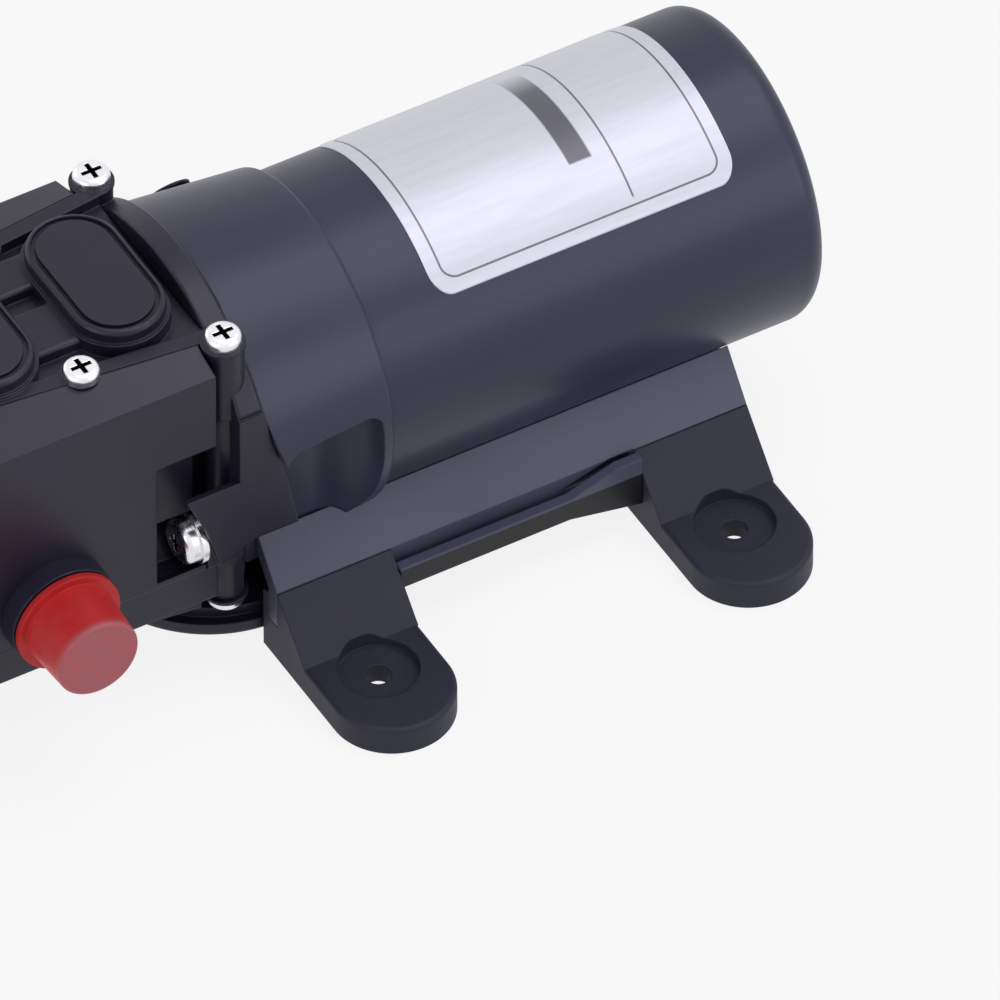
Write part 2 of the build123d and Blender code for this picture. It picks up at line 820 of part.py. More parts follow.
def drive_flange():
    """Round flange with flat sides, screw posts, side lugs and webs, and the bore for the drive."""
    flange = rod_x(flange_front_x, bell_front_x - part_gap, flange_r)
    flange = fillet(flange.edges().filter_by(GeomType.CIRCLE), flange_edge_r)
    side_y = web_y - web_thickness / 2
    half = [(side_y, 2 * axis_z), (side_y, web_low_z), (bell_pocket_y, bracket_top_z), (bell_pocket_y, 0)]
    outline = half + [(-y, z) for y, z in reversed(half)]
    flange &= prism_x(outline, flange_front_x - overrun, bell_front_x + overrun)
    flange += block((body_rear_x + part_gap, flange_front_x), (-neck_half_y, neck_half_y),
                    (axis_z - neck_half_z, axis_z + neck_half_z))
    for side in (-1, 1):
        flange += rod_z(axis_z - lower_post_half_z, axis_z + post_half_z, post_r, screw_line_x, side * post_y)
        flange += rod_z(axis_z + post_half_z - post_boss_height, axis_z + post_half_z, post_boss_r,
                        screw_line_x, side * post_y)
    near = prism_x([(-lug_inner_y, lug_top_z), (-lug_outer_y, lug_top_z), (-lug_outer_y, lug_side_z),
                    (-(lug_inner_y + lug_outer_y) / 2, lug_tip_z), (-lug_inner_y, lug_side_z)],
                   lug_front_x, flange_front_x + neck_length / 3)
    near -= block((lug_front_x - overrun, body_rear_x + part_gap), (-flange_r, -lug_inner_y + overrun),
                  (0, axis_z - deck_half_z + part_gap))
    near += prism_y(web_outline(0), -web_y, -lug_outer_y)
    flange += near
    flange += mirrored_y(near)
    flange -= rod_x(body_rear_x - overrun, bell_front_x + overrun, crank_bore_r)
    for side in (-1, 1):
        flange -= rod_x(lug_front_x - overrun, bell_front_x + overrun, side_screw_r + part_gap / 2,
                        side * side_screw_y, side_screw_z)
        flange -= rod_z(0, axis_z - lower_post_half_z / 2, cover_screw_hole_r, screw_line_x, side * post_y)
        flange -= rod_z(0, axis_z - lower_post_half_z, cover_screw_head_r + part_gap, screw_line_x,
                        side * post_y)
        flange -= rod_z(axis_z + post_half_z / 2, 2 * axis_z, cover_screw_hole_r, screw_line_x, side * post_y)
    return flange


def housing_screws():
    """Washer-head screws along X through the lugs into the bell."""
    one = pan_screw(side_screw_head_r, side_screw_head, side_screw_r, side_screw_grip)
    washer = Pos(0, 0, side_screw_washer / 2) * Cylinder(side_screw_washer_r, side_screw_washer)
    one = Pos(0, 0, side_screw_washer) * one + washer
    screws = []
    for side in (-1, 1):
        place = Pos(lug_front_x - part_gap, side * side_screw_y, side_screw_z)
        screws.append(place * Rot(0, -90, 0) * one)
    return screws


# Head

def cover_half_y(x, gap):
    """Half width of the cover at a place along X: it narrows towards the front."""
    share = (body_rear_x - x) / (body_rear_x - body_front_x)
    return cover_rear_half_y + (cover_front_half_y - cover_rear_half_y) * share - gap


def cover_plan(front, rear, gap):
    """Corners of the cover's outline, seen from above."""
    return [(front, -cover_half_y(front, gap)), (rear, -cover_half_y(rear, gap)),
            (rear, cover_half_y(rear, gap)), (front, cover_half_y(front, gap))]


def cover_front_x():
    return body_front_x + cover_wall


def body_shoulder():
    """Sloped shoulder from the walls up to the edge of the cover."""
    low = [(body_front_x, -body_half_y), (body_rear_x, -body_half_y), (body_rear_x, body_half_y),
           (body_front_x, body_half_y)]
    top_z = axis_z + cover_top_half_z
    high = cover_plan(body_front_x, body_rear_x, 0)
    faces = []
    for z, points in ((axis_z + body_shoulder_half_z, low), (top_z, high)):
        faces.append(make_face(Polyline(*[(x, y, z) for x, y in points], close=True)))
    return loft(faces, ruled=True)


def side_recess():
    """Pocket low on the near wall: square round the lug, and round under the side screw's head."""
    low_x = body_rear_x - side_recess_length
    lug_x = lug_front_x - part_gap
    outer_y = -body_half_y - overrun
    top_z = axis_z + side_recess_top_half_z
    head_top_z = side_screw_z + side_recess_r
    recess = block((lug_x, body_rear_x + overrun), (outer_y, -side_recess_y),
                   (axis_z - deck_half_z - overrun, top_z))
    recess += rod_x(low_x, lug_x, side_recess_r, -side_screw_y, side_screw_z)
    recess += block((low_x, lug_x), (outer_y, -side_screw_y + side_recess_r), (side_screw_z, head_top_z))
    return recess + block((low_x, lug_x), (outer_y, -side_recess_upper_y), (head_top_z, top_z))


def cover_screw_places():
    """The six screws of one cover, as (X, Y)."""
    places = []
    for side in (-1, 1):
        places.append((screw_line_x, side * post_y))
        places.append((chamber_x, side * cover_screw_mid_y))
        places.append((cover_screw_front_x, side * cover_screw_front_y))
    return places


def body_screw_places():
    return [place for place in cover_screw_places() if place[0] < body_rear_x]


def pump_body():
    """Body of the head: crank chamber, port bores and a pocket for the upper plates."""
    walls = block((body_front_x, body_rear_x), (-body_half_y, body_half_y),
                  (axis_z - deck_half_z, axis_z + body_shoulder_half_z))
    body = walls + body_shoulder()
    body -= prism_z(cover_plan(cover_front_x(), body_rear_x + overrun, 0), axis_z + deck_half_z, 2 * axis_z)
    body -= side_recess()
    body -= mirrored_y(side_recess())
    low_z = axis_z - deck_half_z - overrun
    top_z = axis_z + deck_half_z + overrun
    body -= rod_z(low_z, top_z, crank_chamber_r, chamber_x, 0)
    body -= rod_x(chamber_x, body_rear_x + overrun, crank_bore_r)
    for side in (-1, 1):
        y_pair = sorted((side * (port_plug_inner_y - o_ring_section), side * (body_half_y + overrun)))
        body -= rod_y(y_pair[0], y_pair[1], port_plug_r + part_gap / 2, port_x, port_z)
        body -= rod_z(low_z, top_z, gallery_r, port_x, side * gallery_y)
    cross_x = (body_front_x + port_x) / 2
    body -= rod_y(-gallery_y, 0, gallery_r / 2, cross_x, port_z)
    body -= rod_x(cross_x, port_x, gallery_r / 2, -gallery_y, port_z)
    body -= rod_x(body_front_x - overrun, cross_x, gallery_r / 2, 0, port_z)
    for x, y in body_screw_places():
        body -= rod_z(low_z, axis_z - deck_half_z / 2, cover_screw_hole_r, x, y)
        body -= rod_z(axis_z + deck_half_z / 2, 2 * axis_z, cover_screw_hole_r, x, y)
    for y, z in switch_screw_places():
        body -= rod_x(body_front_x - overrun, body_front_x + switch_screw_grip, cover_screw_hole_r, y, z)
    return body


def valve_plate_cuts(plate):
    """Cuts the diaphragm seat, pumping chamber, valve ports and screw holes into an upper plate."""
    plate -= rod_z(axis_z + deck_half_z - overrun, axis_z + diaphragm_half_z, diaphragm_r + part_gap / 2,
                   chamber_x, 0)
    plate -= rod_z(axis_z + deck_half_z, axis_z + chamber_roof_half_z, pump_chamber_r, chamber_x, 0)
    for side in (-1, 1):
        valve_x = chamber_x + side * valve_offset
        plate -= rod_z(axis_z, 2 * axis_z, valve_stem_r + part_gap / 2, valve_x, 0)
        for index in range(valve_port_count):
            angle = 2 * math.pi * index / valve_port_count
            plate -= rod_z(axis_z, 2 * axis_z, valve_port_r, valve_x + valve_port_ring_r * math.cos(angle),
                           valve_port_ring_r * math.sin(angle))
        plate -= rod_z(axis_z, 2 * axis_z, gallery_r, port_x, side * gallery_y)
    for x, y in body_screw_places():
        plate -= rod_z(axis_z, 2 * axis_z, cover_screw_hole_r, x, y)
    return plate


def valve_plate_top():
    """Upper valve plate, nested in the body's pocket."""
    plan = cover_plan(cover_front_x() + cover_gap, body_rear_x, cover_gap)
    plate = prism_z(plan, axis_z + deck_half_z, axis_z + plate_half_z)
    return valve_plate_cuts(plate)


def valve_plate_bottom():
    """Lower valve plate, as wide as the body, so that its edge shows as a band."""
    plate = block((body_front_x, body_rear_x), (-body_half_y, body_half_y),
                  (axis_z + deck_half_z, axis_z + plate_half_z))
    return mirrored_z(valve_plate_cuts(plate))


def diaphragm():
    """Upper rubber diaphragm, clamped at its rim."""
    disc = rod_z(axis_z + deck_half_z, axis_z + diaphragm_half_z, diaphragm_r, chamber_x, 0)
    return disc - rod_z(axis_z, 2 * axis_z, diaphragm_bore_r, chamber_x, 0)


def umbrella_valves():
    """One inlet and one outlet umbrella in each valve plate."""
    roof = axis_z + chamber_roof_half_z
    seat = axis_z + plate_half_z
    inlet_x = chamber_x - valve_offset
    outlet_x = chamber_x + valve_offset
    inlet = rod_z(roof - valve_thickness, roof, valve_r, inlet_x, 0)
    inlet += rod_z(roof, seat + valve_thickness, valve_stem_r, inlet_x, 0)
    inlet += rod_z(seat, seat + valve_thickness, valve_head_r, inlet_x, 0)
    outlet = rod_z(seat, seat + valve_thickness, valve_r, outlet_x, 0)
    outlet += rod_z(roof - valve_thickness, seat, valve_stem_r, outlet_x, 0)
    outlet += rod_z(roof - valve_thickness, roof, valve_head_r, outlet_x, 0)
    return Compound([inlet, outlet, mirrored_z(inlet), mirrored_z(outlet)])


def head_cover(post_end, seat):
    """Cover with a rim, two domes, bridges between them, hollow chambers, and ears on the posts' ends."""
    rear = flange_front_x - part_gap
    top = axis_z + cover_top_half_z
    floor = axis_z + cover_floor_half_z
    plan = cover_plan(cover_front_x() + cover_gap, rear, cover_gap)
    cover = prism_z(plan, axis_z + plate_half_z, top)
    inner = cover_plan(cover_front_x() + cover_gap + cover_rim_width, rear + overrun,
                       cover_gap + cover_rim_width)
    cover -= prism_z(inner, floor, top + overrun)
    for x, y in body_screw_places():
        cover += rod_z(floor - overrun, top, cover_ear_r, x, y)
    cover &= prism_z(plan, axis_z + plate_half_z, top)
    for x in (dome_rear_x, dome_front_x):
        cover += racetrack(x, cover_floor_half_z - overrun, dome_step_half_z, dome_length + 2 * dome_step,
                           dome_width + 2 * dome_step)
    for edges_y in bridge_edges_y:
        bridge = block((dome_front_x, dome_rear_x), edges_y, (floor - overrun, axis_z + bridge_half_z))
        cover += fillet(bridge.edges().filter_by(Axis.X).group_by(Axis.Z)[-1], bridge_edge_r)
    cover -= neck_space()
    post_top_z = axis_z + post_end + part_gap
    for side in (-1, 1):
        cover -= rod_z(axis_z, post_top_z, post_boss_r + part_gap, screw_line_x, side * post_y)
        cover -= rod_z(axis_z + seat, top + overrun, cover_ear_r + part_gap, screw_line_x, side * post_y)
        cover += rod_z(post_top_z, axis_z + seat, cover_ear_r, screw_line_x, side * post_y)
    cover &= block((body_front_x, flange_front_x + cover_ear_r + neck_length), (-body_half_y, body_half_y),
                   (axis_z + plate_half_z, top + dome_length))
    cover -= rod_x(flange_front_x - part_gap, bell_rear_x, flange_r + part_gap)
    for x in (dome_rear_x, dome_front_x):
        cover += dome(x)
        cover -= racetrack(x, plate_half_z - overrun, dome_top_half_z - cover_wall,
                           dome_length - 2 * cover_wall, dome_width - 2 * cover_wall)
    valve_top_z = axis_z + plate_half_z + valve_thickness + valve_room
    for x in (chamber_x - valve_offset, chamber_x + valve_offset):
        cover -= rod_z(axis_z, valve_top_z, valve_r + valve_room, x, 0)
    for x, y in cover_screw_places():
        cover -= rod_z(axis_z, 2 * axis_z, cover_screw_hole_r, x, y)
    return cover - seal_groove()


def neck_space():
    """The part of the drive housing's neck and posts that the cover has to clear."""
    return block((body_rear_x, flange_front_x + overrun), (-body_half_y, body_half_y),
                 (axis_z, axis_z + neck_half_z + part_gap))


def dome(x):
    """One racetrack dome with a groove around its raised pad."""
    shape = racetrack(x, cover_floor_half_z - overrun, dome_top_half_z, dome_length, dome_width)
    shape = fillet(shape.edges().group_by(Axis.Z)[-1], dome_edge_r)
    inset = dome_edge_r + dome_groove
    ring = racetrack(x, dome_top_half_z - dome_groove_depth, dome_top_half_z + overrun,
                     dome_length - 2 * dome_edge_r, dome_width - 2 * dome_edge_r)
    ring -= racetrack(x, dome_top_half_z - dome_groove_depth - overrun, dome_top_half_z + 2 * overrun,
                      dome_length - 2 * inset, dome_width - 2 * inset)
    return shape - ring


def seal_ring(x, half_high, gap):
    """A racetrack ring just outside one dome, wider on each side by a gap."""
    outer_grow = 2 * seal_offset + seal_section + gap
    inner_grow = 2 * seal_offset - seal_section - gap
    outer = racetrack(x, plate_half_z, half_high, dome_length + outer_grow, dome_width + outer_grow)
    inner = racetrack(x, plate_half_z - overrun, half_high + overrun, dome_length + inner_grow,
                      dome_width + inner_grow)
    return outer - inner


def seal_groove():
    """Grooves in the cover's face for the two chamber seals."""
    groove_end = plate_half_z + seal_depth
    return seal_ring(dome_rear_x, groove_end, part_gap) + seal_ring(dome_front_x, groove_end, part_gap)


def chamber_seals():
    """Rubber racetrack seals in the grooves of one cover."""
    seal_end = plate_half_z + seal_depth - part_gap
    return [seal_ring(dome_rear_x, seal_end, 0), seal_ring(dome_front_x, seal_end, 0)]


def cover_screws(post_end, seat):
    """The six screws of one cover: the two in the posts are shorter and sit on the ears."""
    screws = []
    for x, y in cover_screw_places():
        in_post = x > body_rear_x
        length = post_end / 2 if in_post else cover_screw_length
        one = pan_screw(cover_screw_head_r, cover_screw_head, cover_screw_r, length)
        screws.append(Pos(x, y, axis_z + (seat if in_post else cover_top_half_z)) * one)
    return screws


# Crank and pistons

def eccentric_cam():
    """Hub on the shaft with an off-centre journal for the bearing."""
    half = cam_bearing_width / 2
    journal = rod_x(chamber_x - half, chamber_x + half, cam_bearing_bore_r, stroke, axis_z)
    hub = rod_x(chamber_x + half, chamber_x + half + cam_hub_length, cam_hub_r)
    cam = journal + hub
    cam -= rod_x(shaft_front_x - overrun, chamber_x + cam_hub_length + half + overrun, shaft_r)
    grub_x = chamber_x + half + cam_hub_length / 2
    return cam - rod_z(axis_z, axis_z + cam_hub_r + overrun, grub_r, grub_x, 0)


def cam_grub_screw():
    """Grub screw that locks the hub to the shaft."""
    grub_x = chamber_x + cam_bearing_width / 2 + cam_hub_length / 2
    return rod_z(axis_z + shaft_r, axis_z + cam_hub_r - part_gap, grub_r, grub_x, 0)


def cam_bearing():
    """Ball bearing on the eccentric journal, as one closed ring."""
    half = cam_bearing_width / 2
    ring = rod_x(chamber_x - half, chamber_x + half, cam_bearing_r, stroke, axis_z)
    bore = rod_x(chamber_x - half - overrun, chamber_x + half + overrun, cam_bearing_bore_r, stroke, axis_z)
    return ring - bore


def yoke_half_z():
    return cam_bearing_r + 2 * stroke + part_gap + yoke_wall


def piston_yoke():
    """Yoke around the cam bearing, with a stem up to each diaphragm."""
    half_x = yoke_width / 2
    open_y = cam_bearing_r + stroke + move_gap
    open_z = yoke_half_z() - yoke_wall
    frame = block((chamber_x - half_x, chamber_x + half_x),
                  (-open_y - yoke_wall / 2, open_y + yoke_wall / 2),
                  (axis_z - yoke_half_z(), axis_z + yoke_half_z()))
    frame -= block((chamber_x - half_x - overrun, chamber_x + half_x + overrun), (-open_y, open_y),
                   (axis_z - open_z, axis_z + open_z))
    stem_r = diaphragm_bore_r + yoke_wall / 2
    stem = rod_z(axis_z + yoke_half_z() - yoke_wall / 2, axis_z + deck_half_z, stem_r, chamber_x, 0)
    yoke = frame + stem + mirrored_z(stem)
    yoke -= rod_z(axis_z + open_z - overrun, 2 * axis_z, piston_screw_r, chamber_x, 0)
    return yoke - rod_z(0, axis_z - open_z + overrun, piston_screw_r, chamber_x, 0)


def piston_plates():
    """Discs that clamp the middle of each diaphragm to the yoke."""
    low = axis_z + diaphragm_half_z
    disc = rod_z(low, low + piston_plate_thickness, piston_plate_r, chamber_x, 0)
    disc -= rod_z(low - overrun, low + 2 * overrun, piston_screw_r, chamber_x, 0)
    return Compound([disc, mirrored_z(disc)])


def piston_screws():
    """Screws through the piston plates and diaphragms into the yoke."""
    low = axis_z + yoke_half_z() - yoke_wall
    high = axis_z + diaphragm_half_z + piston_plate_thickness
    one = rod_z(low, high, piston_screw_r, chamber_x, 0)
    return Compound([one, mirrored_z(one)])


# Ports

def port_fitting():
    """Near port: a ring on the body, a barbed spigot outside and a plug inside."""
    fitting = rod_y(-port_ring_end_y, -body_half_y, port_ring_r, port_x, port_z)
    fitting += rod_y(-body_half_y, -port_plug_inner_y, port_plug_r, port_x, port_z)
    fitting += rod_y(-port_end_y, -port_ring_end_y, port_spigot_r, port_x, port_z)
    for index in range(port_barb_count):
        tip = -port_end_y + index * port_barb_pitch
        barb = Pos(port_x, tip + port_barb_pitch / 4, port_z) * Rot(-90, 0, 0)
        barb *= Cone(port_spigot_r, port_barb_r, port_barb_pitch / 2)
        fitting += barb
    fitting -= rod_y(-port_end_y - overrun, -port_plug_inner_y + overrun, port_bore_r, port_x, port_z)
    groove_y = -(body_half_y + port_plug_inner_y) / 2
    groove = rod_y(groove_y - o_ring_section / 2, groove_y + o_ring_section / 2, port_plug_r + overrun,
                   port_x, port_z)
    groove -= rod_y(groove_y - o_ring_section, groove_y + o_ring_section, port_plug_r - o_ring_section / 2,
                    port_x, port_z)
    return fitting - groove


def port_seals():
    """O-rings in the plug grooves."""
    groove_y = -(body_half_y + port_plug_inner_y) / 2
    half = o_ring_section / 2 - part_gap
    ring = rod_y(groove_y - half, groove_y + half, port_plug_r, port_x, port_z)
    ring -= rod_y(groove_y - overrun, groove_y + overrun, port_plug_r - o_ring_section / 2, port_x, port_z)
    return Compound([ring, mirrored_y(ring)])


def cap_seat_y():
    return port_ring_end_y + move_gap


def port_cap():
    """Soft dust cap pushed on the near spigot: flange, tapered barrel and closed end."""
    seat = -cap_seat_y()
    cap = rod_y(seat - cap_flange_thickness, seat, cap_flange_r, port_x, port_z)
    length = cap_end_y - cap_seat_y()
    barrel = Pos(port_x, (seat - cap_end_y) / 2, port_z) * Rot(-90, 0, 0)
    barrel *= Cone(cap_end_r, cap_base_r, length)
    barrel = fillet(barrel.edges().group_by(Axis.Y)[0], cap_wall / 2)
    cap += barrel
    return cap - rod_y(-cap_end_y + cap_wall, seat + overrun, port_barb_r + part_gap, port_x, port_z)


# Pressure switch

def switch_front_x():
    return body_front_x - switch_base_thickness


def switch_screw_places():
    """Two screws, one each side of the switch, as (Y, Z)."""
    reach = switch_base_half_y - switch_screw_inset
    return [(-reach, switch_z), (reach, switch_z)]


def slab_x(half_y, half_z, corner, x_low, x_high):
    """A prism along X on the switch's axis, with round corners."""
    outline = fillet(Rectangle(2 * half_y, 2 * half_z).vertices(), corner)
    place = Plane(origin=(x_low, 0, switch_z), x_dir=(0, 1, 0), z_dir=(1, 0, 0))
    return extrude(place * outline, amount=x_high - x_low)


def switch_base():
    """Foot of the switch, with the chamber that the water pressure fills."""
    base = slab_x(switch_base_half_y, switch_base_half_z, switch_corner_r, switch_front_x(), body_front_x)
    base -= rod_x(switch_front_x() - overrun, body_front_x + overrun, switch_chamber_r, 0, switch_z)
    for y, z in switch_screw_places():
        base -= rod_x(switch_front_x() - overrun, body_front_x + overrun, cover_screw_hole_r, y, z)
    return base


def switch_diaphragm():
    """Thin rubber disc between the chamber and the plunger."""
    rear = switch_front_x()
    return rod_x(rear - switch_diaphragm_thickness, rear, switch_diaphragm_r, 0, switch_z)


def switch_body_rear_x():
    return switch_front_x()


def switch_end_x():
    return switch_body_rear_x() - switch_body_length


def switch_housing():
    """Box over the switch, with slots for the blades and a thread for the adjuster."""
    rear = switch_body_rear_x()
    front = switch_end_x()
    housing = slab_x(switch_body_half_y, switch_body_half_z, switch_corner_r, front, rear)
    housing = fillet(housing.edges().group_by(Axis.X)[0], switch_wall / 2)
    hollow = slab_x(switch_body_half_y - switch_wall, switch_body_half_z - switch_wall, switch_corner_r / 2,
                    front + switch_wall, rear - switch_diaphragm_thickness - part_gap)
    housing -= hollow
    housing -= rod_x(rear - switch_diaphragm_thickness - part_gap - overrun, rear + overrun,
                     switch_diaphragm_r + part_gap / 2, 0, switch_z)
    for side in (-1, 1):
        housing -= terminal(side, part_gap / 2)
    housing -= rod_x(front - overrun, front + switch_wall + overrun, adjuster_r + running_gap, 0,
                     switch_z + adjuster_rise)
    return housing


def terminal(side, grow):
    """One blade, from inside the switch out through its end, made larger by a clearance."""
    y = side * terminal_spread
    half_z = terminal_width / 2 + grow
    half_y = terminal_thickness / 2 + grow
    z_mid = switch_z - switch_wall
    inner = switch_end_x() + switch_wall + part_gap
    return block((switch_end_x() - terminal_length, inner), (y - half_y, y + half_y),
                 (z_mid - half_z, z_mid + half_z))


def switch_terminals():
    blades = []
    for side in (-1, 1):
        blade = terminal(side, 0)
        hole_x = switch_end_x() - terminal_length * 2 / 3
        blade -= rod_y(-body_half_y, body_half_y, terminal_thickness, hole_x, switch_z - switch_wall)
        blades.append(blade)
    return blades


def micro_switch_x():
    return switch_end_x() + switch_wall + part_gap


def micro_switch():
    """Snap-action switch block behind the blades."""
    front = micro_switch_x() + part_gap
    low = switch_z - switch_wall - micro_switch_half_z
    return block((front, front + micro_switch_length), (-micro_switch_half_y, micro_switch_half_y),
                 (low, low + 2 * micro_switch_half_z))


def plunger_rear_x():
    return switch_body_rear_x() - switch_diaphragm_thickness - part_gap


def switch_plunger():
    """Plunger that the diaphragm pushes towards the snap-action switch."""
    rear = plunger_rear_x()
    plunger = rod_x(rear - plunger_foot, rear, plunger_foot_r, 0, switch_z)
    front = micro_switch_x() + part_gap + micro_switch_length + plunger_travel + part_gap
    return plunger + rod_x(front, rear - plunger_foot / 2, plunger_r, 0, switch_z)


def switch_spring():
    """Return spring round the plunger, as a tube of the coil's outside size."""
    rear = plunger_rear_x() - plunger_foot - plunger_travel - part_gap
    front = micro_switch_x() + part_gap + micro_switch_length + part_gap
    inner_r = plunger_r + move_gap
    spring = rod_x(front, rear, inner_r + spring_wire, 0, switch_z)
    return spring - rod_x(front - overrun, rear + overrun, inner_r, 0, switch_z)


def adjuster_screw():
    """Slotted screw in the switch's end that sets the cut-off pressure."""
    front = switch_end_x() - adjuster_length / 2
    screw = rod_x(front, front + adjuster_length, adjuster_r, 0, switch_z + adjuster_rise)
    slot = block((front - overrun, front + recess_depth / 2), (-adjuster_r, adjuster_r),
                 (switch_z + adjuster_rise - recess_width / 2, switch_z + adjuster_rise + recess_width / 2))
    return screw - slot


def switch_screws():
    screws = []
    one = pan_screw(switch_screw_head_r, switch_screw_head, switch_screw_r, switch_screw_grip)
    for y, z in switch_screw_places():
        screws.append(Pos(switch_front_x(), y, z) * Rot(0, -90, 0) * one)
    return screws


def build():
    """Makes every node and writes it."""
    os.makedirs("parts", exist_ok=True)
    save("motor_can", motor_can())
    save("front_bell", front_bell())
    save("rating_label", rating_label())
    save("wire_grommet", wire_grommet())
    save("magnets", magnets())
    save("armature_core", armature_core())
    save("armature_windings", armature_windings())
    save("commutator", commutator())
    save("motor_shaft", motor_shaft())
    save("rear_bearing", bearing(can_rear_x + rear_cup_depth - can_wall - part_gap - bearing_length))
    save("front_bearing", bearing(bell_front_x))
    save("brush_card", brush_card())
    save("brushes", brushes())
    save("brush_boxes", brush_boxes())
    save("brush_springs", brush_springs())

    save("base_bracket", base_bracket())
    save("bracket_screws", Compound(bracket_screws()))
    near_front = rubber_foot()
    near_rear = mirror(near_front, about=Plane.YZ)
    save("foot_near_front", near_front)
    save("foot_near_rear", near_rear)
    save("foot_far_front", mirrored_y(near_front))
    save("foot_far_rear", mirrored_y(near_rear))
    save("under_cap", under_cap())

    save("drive_flange", drive_flange())
    save("housing_screws", Compound(housing_screws()))
    save("pump_body", pump_body())
    save("valve_plate_top", valve_plate_top())
    save("valve_plate_bottom", valve_plate_bottom())
    upper_diaphragm = diaphragm()
    save("diaphragm_top", upper_diaphragm)
    save("diaphragm_bottom", mirrored_z(upper_diaphragm))
    save("umbrella_valves", umbrella_valves())
    save("top_cover", head_cover(post_half_z, cover_top_half_z))
    save("bottom_cover", mirrored_z(head_cover(lower_post_half_z, lower_seat_half_z)))
    upper_seals = chamber_seals()
    save("top_cover_seals", Compound(upper_seals))
    save("bottom_cover_seals", Compound([mirrored_z(seal) for seal in upper_seals]))
    save("cover_screws_top", Compound(cover_screws(post_half_z, cover_top_half_z)))
    lower_screws = cover_screws(lower_post_half_z, lower_seat_half_z)
    save("cover_screws_bottom", Compound([mirrored_z(screw) for screw in lower_screws]))

    save("eccentric_cam", eccentric_cam())
    save("cam_grub_screw", cam_grub_screw())
    save("cam_bearing", cam_bearing())
    save("piston_yoke", piston_yoke())
    save("piston_plates", piston_plates())
    save("piston_screws", piston_screws())

    near_port = port_fitting()
    save("port_fitting_near", near_port)
    save("port_fitting_far", mirrored_y(near_port))
    save("port_seals", port_seals())
    near_cap = port_cap()
    save("port_cap_near", near_cap)
    save("port_cap_far", mirrored_y(near_cap))

    save("switch_base", switch_base())
    save("switch_diaphragm", switch_diaphragm())
    save("switch_housing", switch_housing())
    save("switch_terminals", Compound(switch_terminals()))
    save("micro_switch", micro_switch())
    save("switch_plunger", switch_plunger())
    save("switch_spring", switch_spring())
    save("adjuster_screw", adjuster_screw())
    save("switch_screws", Compound(switch_screws()))


build()
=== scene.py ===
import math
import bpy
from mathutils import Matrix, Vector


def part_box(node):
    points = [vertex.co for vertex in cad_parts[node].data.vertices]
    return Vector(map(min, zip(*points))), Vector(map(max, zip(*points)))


bl_info = {
    "name": "Caravan water pump",
    "version": (1, 0, 0),
    "blender": (4, 5, 0),
    "location": "View3D > Sidebar > Water pump",
    "description": "Dresses the packed model of a small 12 V diaphragm pump",
    "category": "Object",
}

import bpy
from bpy.props import FloatProperty, FloatVectorProperty, PointerProperty
from mathutils import Matrix, Vector

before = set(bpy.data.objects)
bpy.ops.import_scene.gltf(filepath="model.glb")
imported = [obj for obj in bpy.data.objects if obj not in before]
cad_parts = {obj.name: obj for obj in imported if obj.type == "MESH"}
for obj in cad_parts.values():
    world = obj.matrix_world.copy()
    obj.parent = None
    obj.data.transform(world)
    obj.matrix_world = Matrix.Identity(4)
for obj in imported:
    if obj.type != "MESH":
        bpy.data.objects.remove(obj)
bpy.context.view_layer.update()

# Places and sizes on the pump, in metres

MM = 0.001
AXIS_Z = 35.0 * MM
LABEL_HALF_TURN = math.radians(48.0)
COVER_SCREWS = ((-43.9 * MM, 18.85 * MM), (-64.55 * MM, 14.85 * MM), (-85.2 * MM, 11.0 * MM))
CROWN_Z = 62.9 * MM
SIDE_SCREW_R = 4.1 * MM
RECESS_R = 1.8 * MM
RECESS_DEPTH = 1.1 * MM
RECESS_FADE = RECESS_DEPTH / 2
RAIL_SHEET = 1.6 * MM
RAIL_TOP_Z = 10.7 * MM
CAP_PALE_DEPTH = 1.6 * MM
CAP_LIGHT_DEPTH = 1.2 * MM

# Soft steps: a length, a turn in radians, and where a drawn line starts and ends to fade, in its widths

SOFT_EDGE = 0.2 * MM
SOFT_TURN = 0.01
LINE_SOLID = 0.3
LINE_GONE = 0.8

# Grain of the finishes: cells to a metre, and the height of the bumps in metres

DUST_CELLS = 35.0
PEEL_CELLS = 2600.0
PEEL_HEIGHT = 0.012 * MM
FLOW_CELLS = 60.0
MOULD_CELLS = 4200.0
MOULD_HEIGHT = 0.02 * MM
BLOOM_CELLS = 90.0
RUBBER_CELLS = 3000.0
RUBBER_HEIGHT = 0.03 * MM
TOOL_CELLS = 1800.0
TOOL_HEIGHT = 0.002 * MM
STAIN_CELLS = 220.0
PLAIN_CELLS = 2500.0
PLAIN_HEIGHT = 0.015 * MM
FILM_CELLS = 900.0
FILM_HEIGHT = 0.004 * MM
FILM_STRETCH = (0.1, 1.0, 1.0)
CLOUD_CELLS = 300.0
CLOUD_HEIGHT = 0.05 * MM
PAPER_CELLS = 500.0

# Roughness of finishes that are always the same, and how finely an edge's rounding is worked out

RUBBER_ROUGHNESS = 0.575
FILM_ROUGHNESS = 0.33
CAP_ROUGHNESS = 0.41
PAPER_ROUGHNESS = 0.9
EDGE_SAMPLES = 6
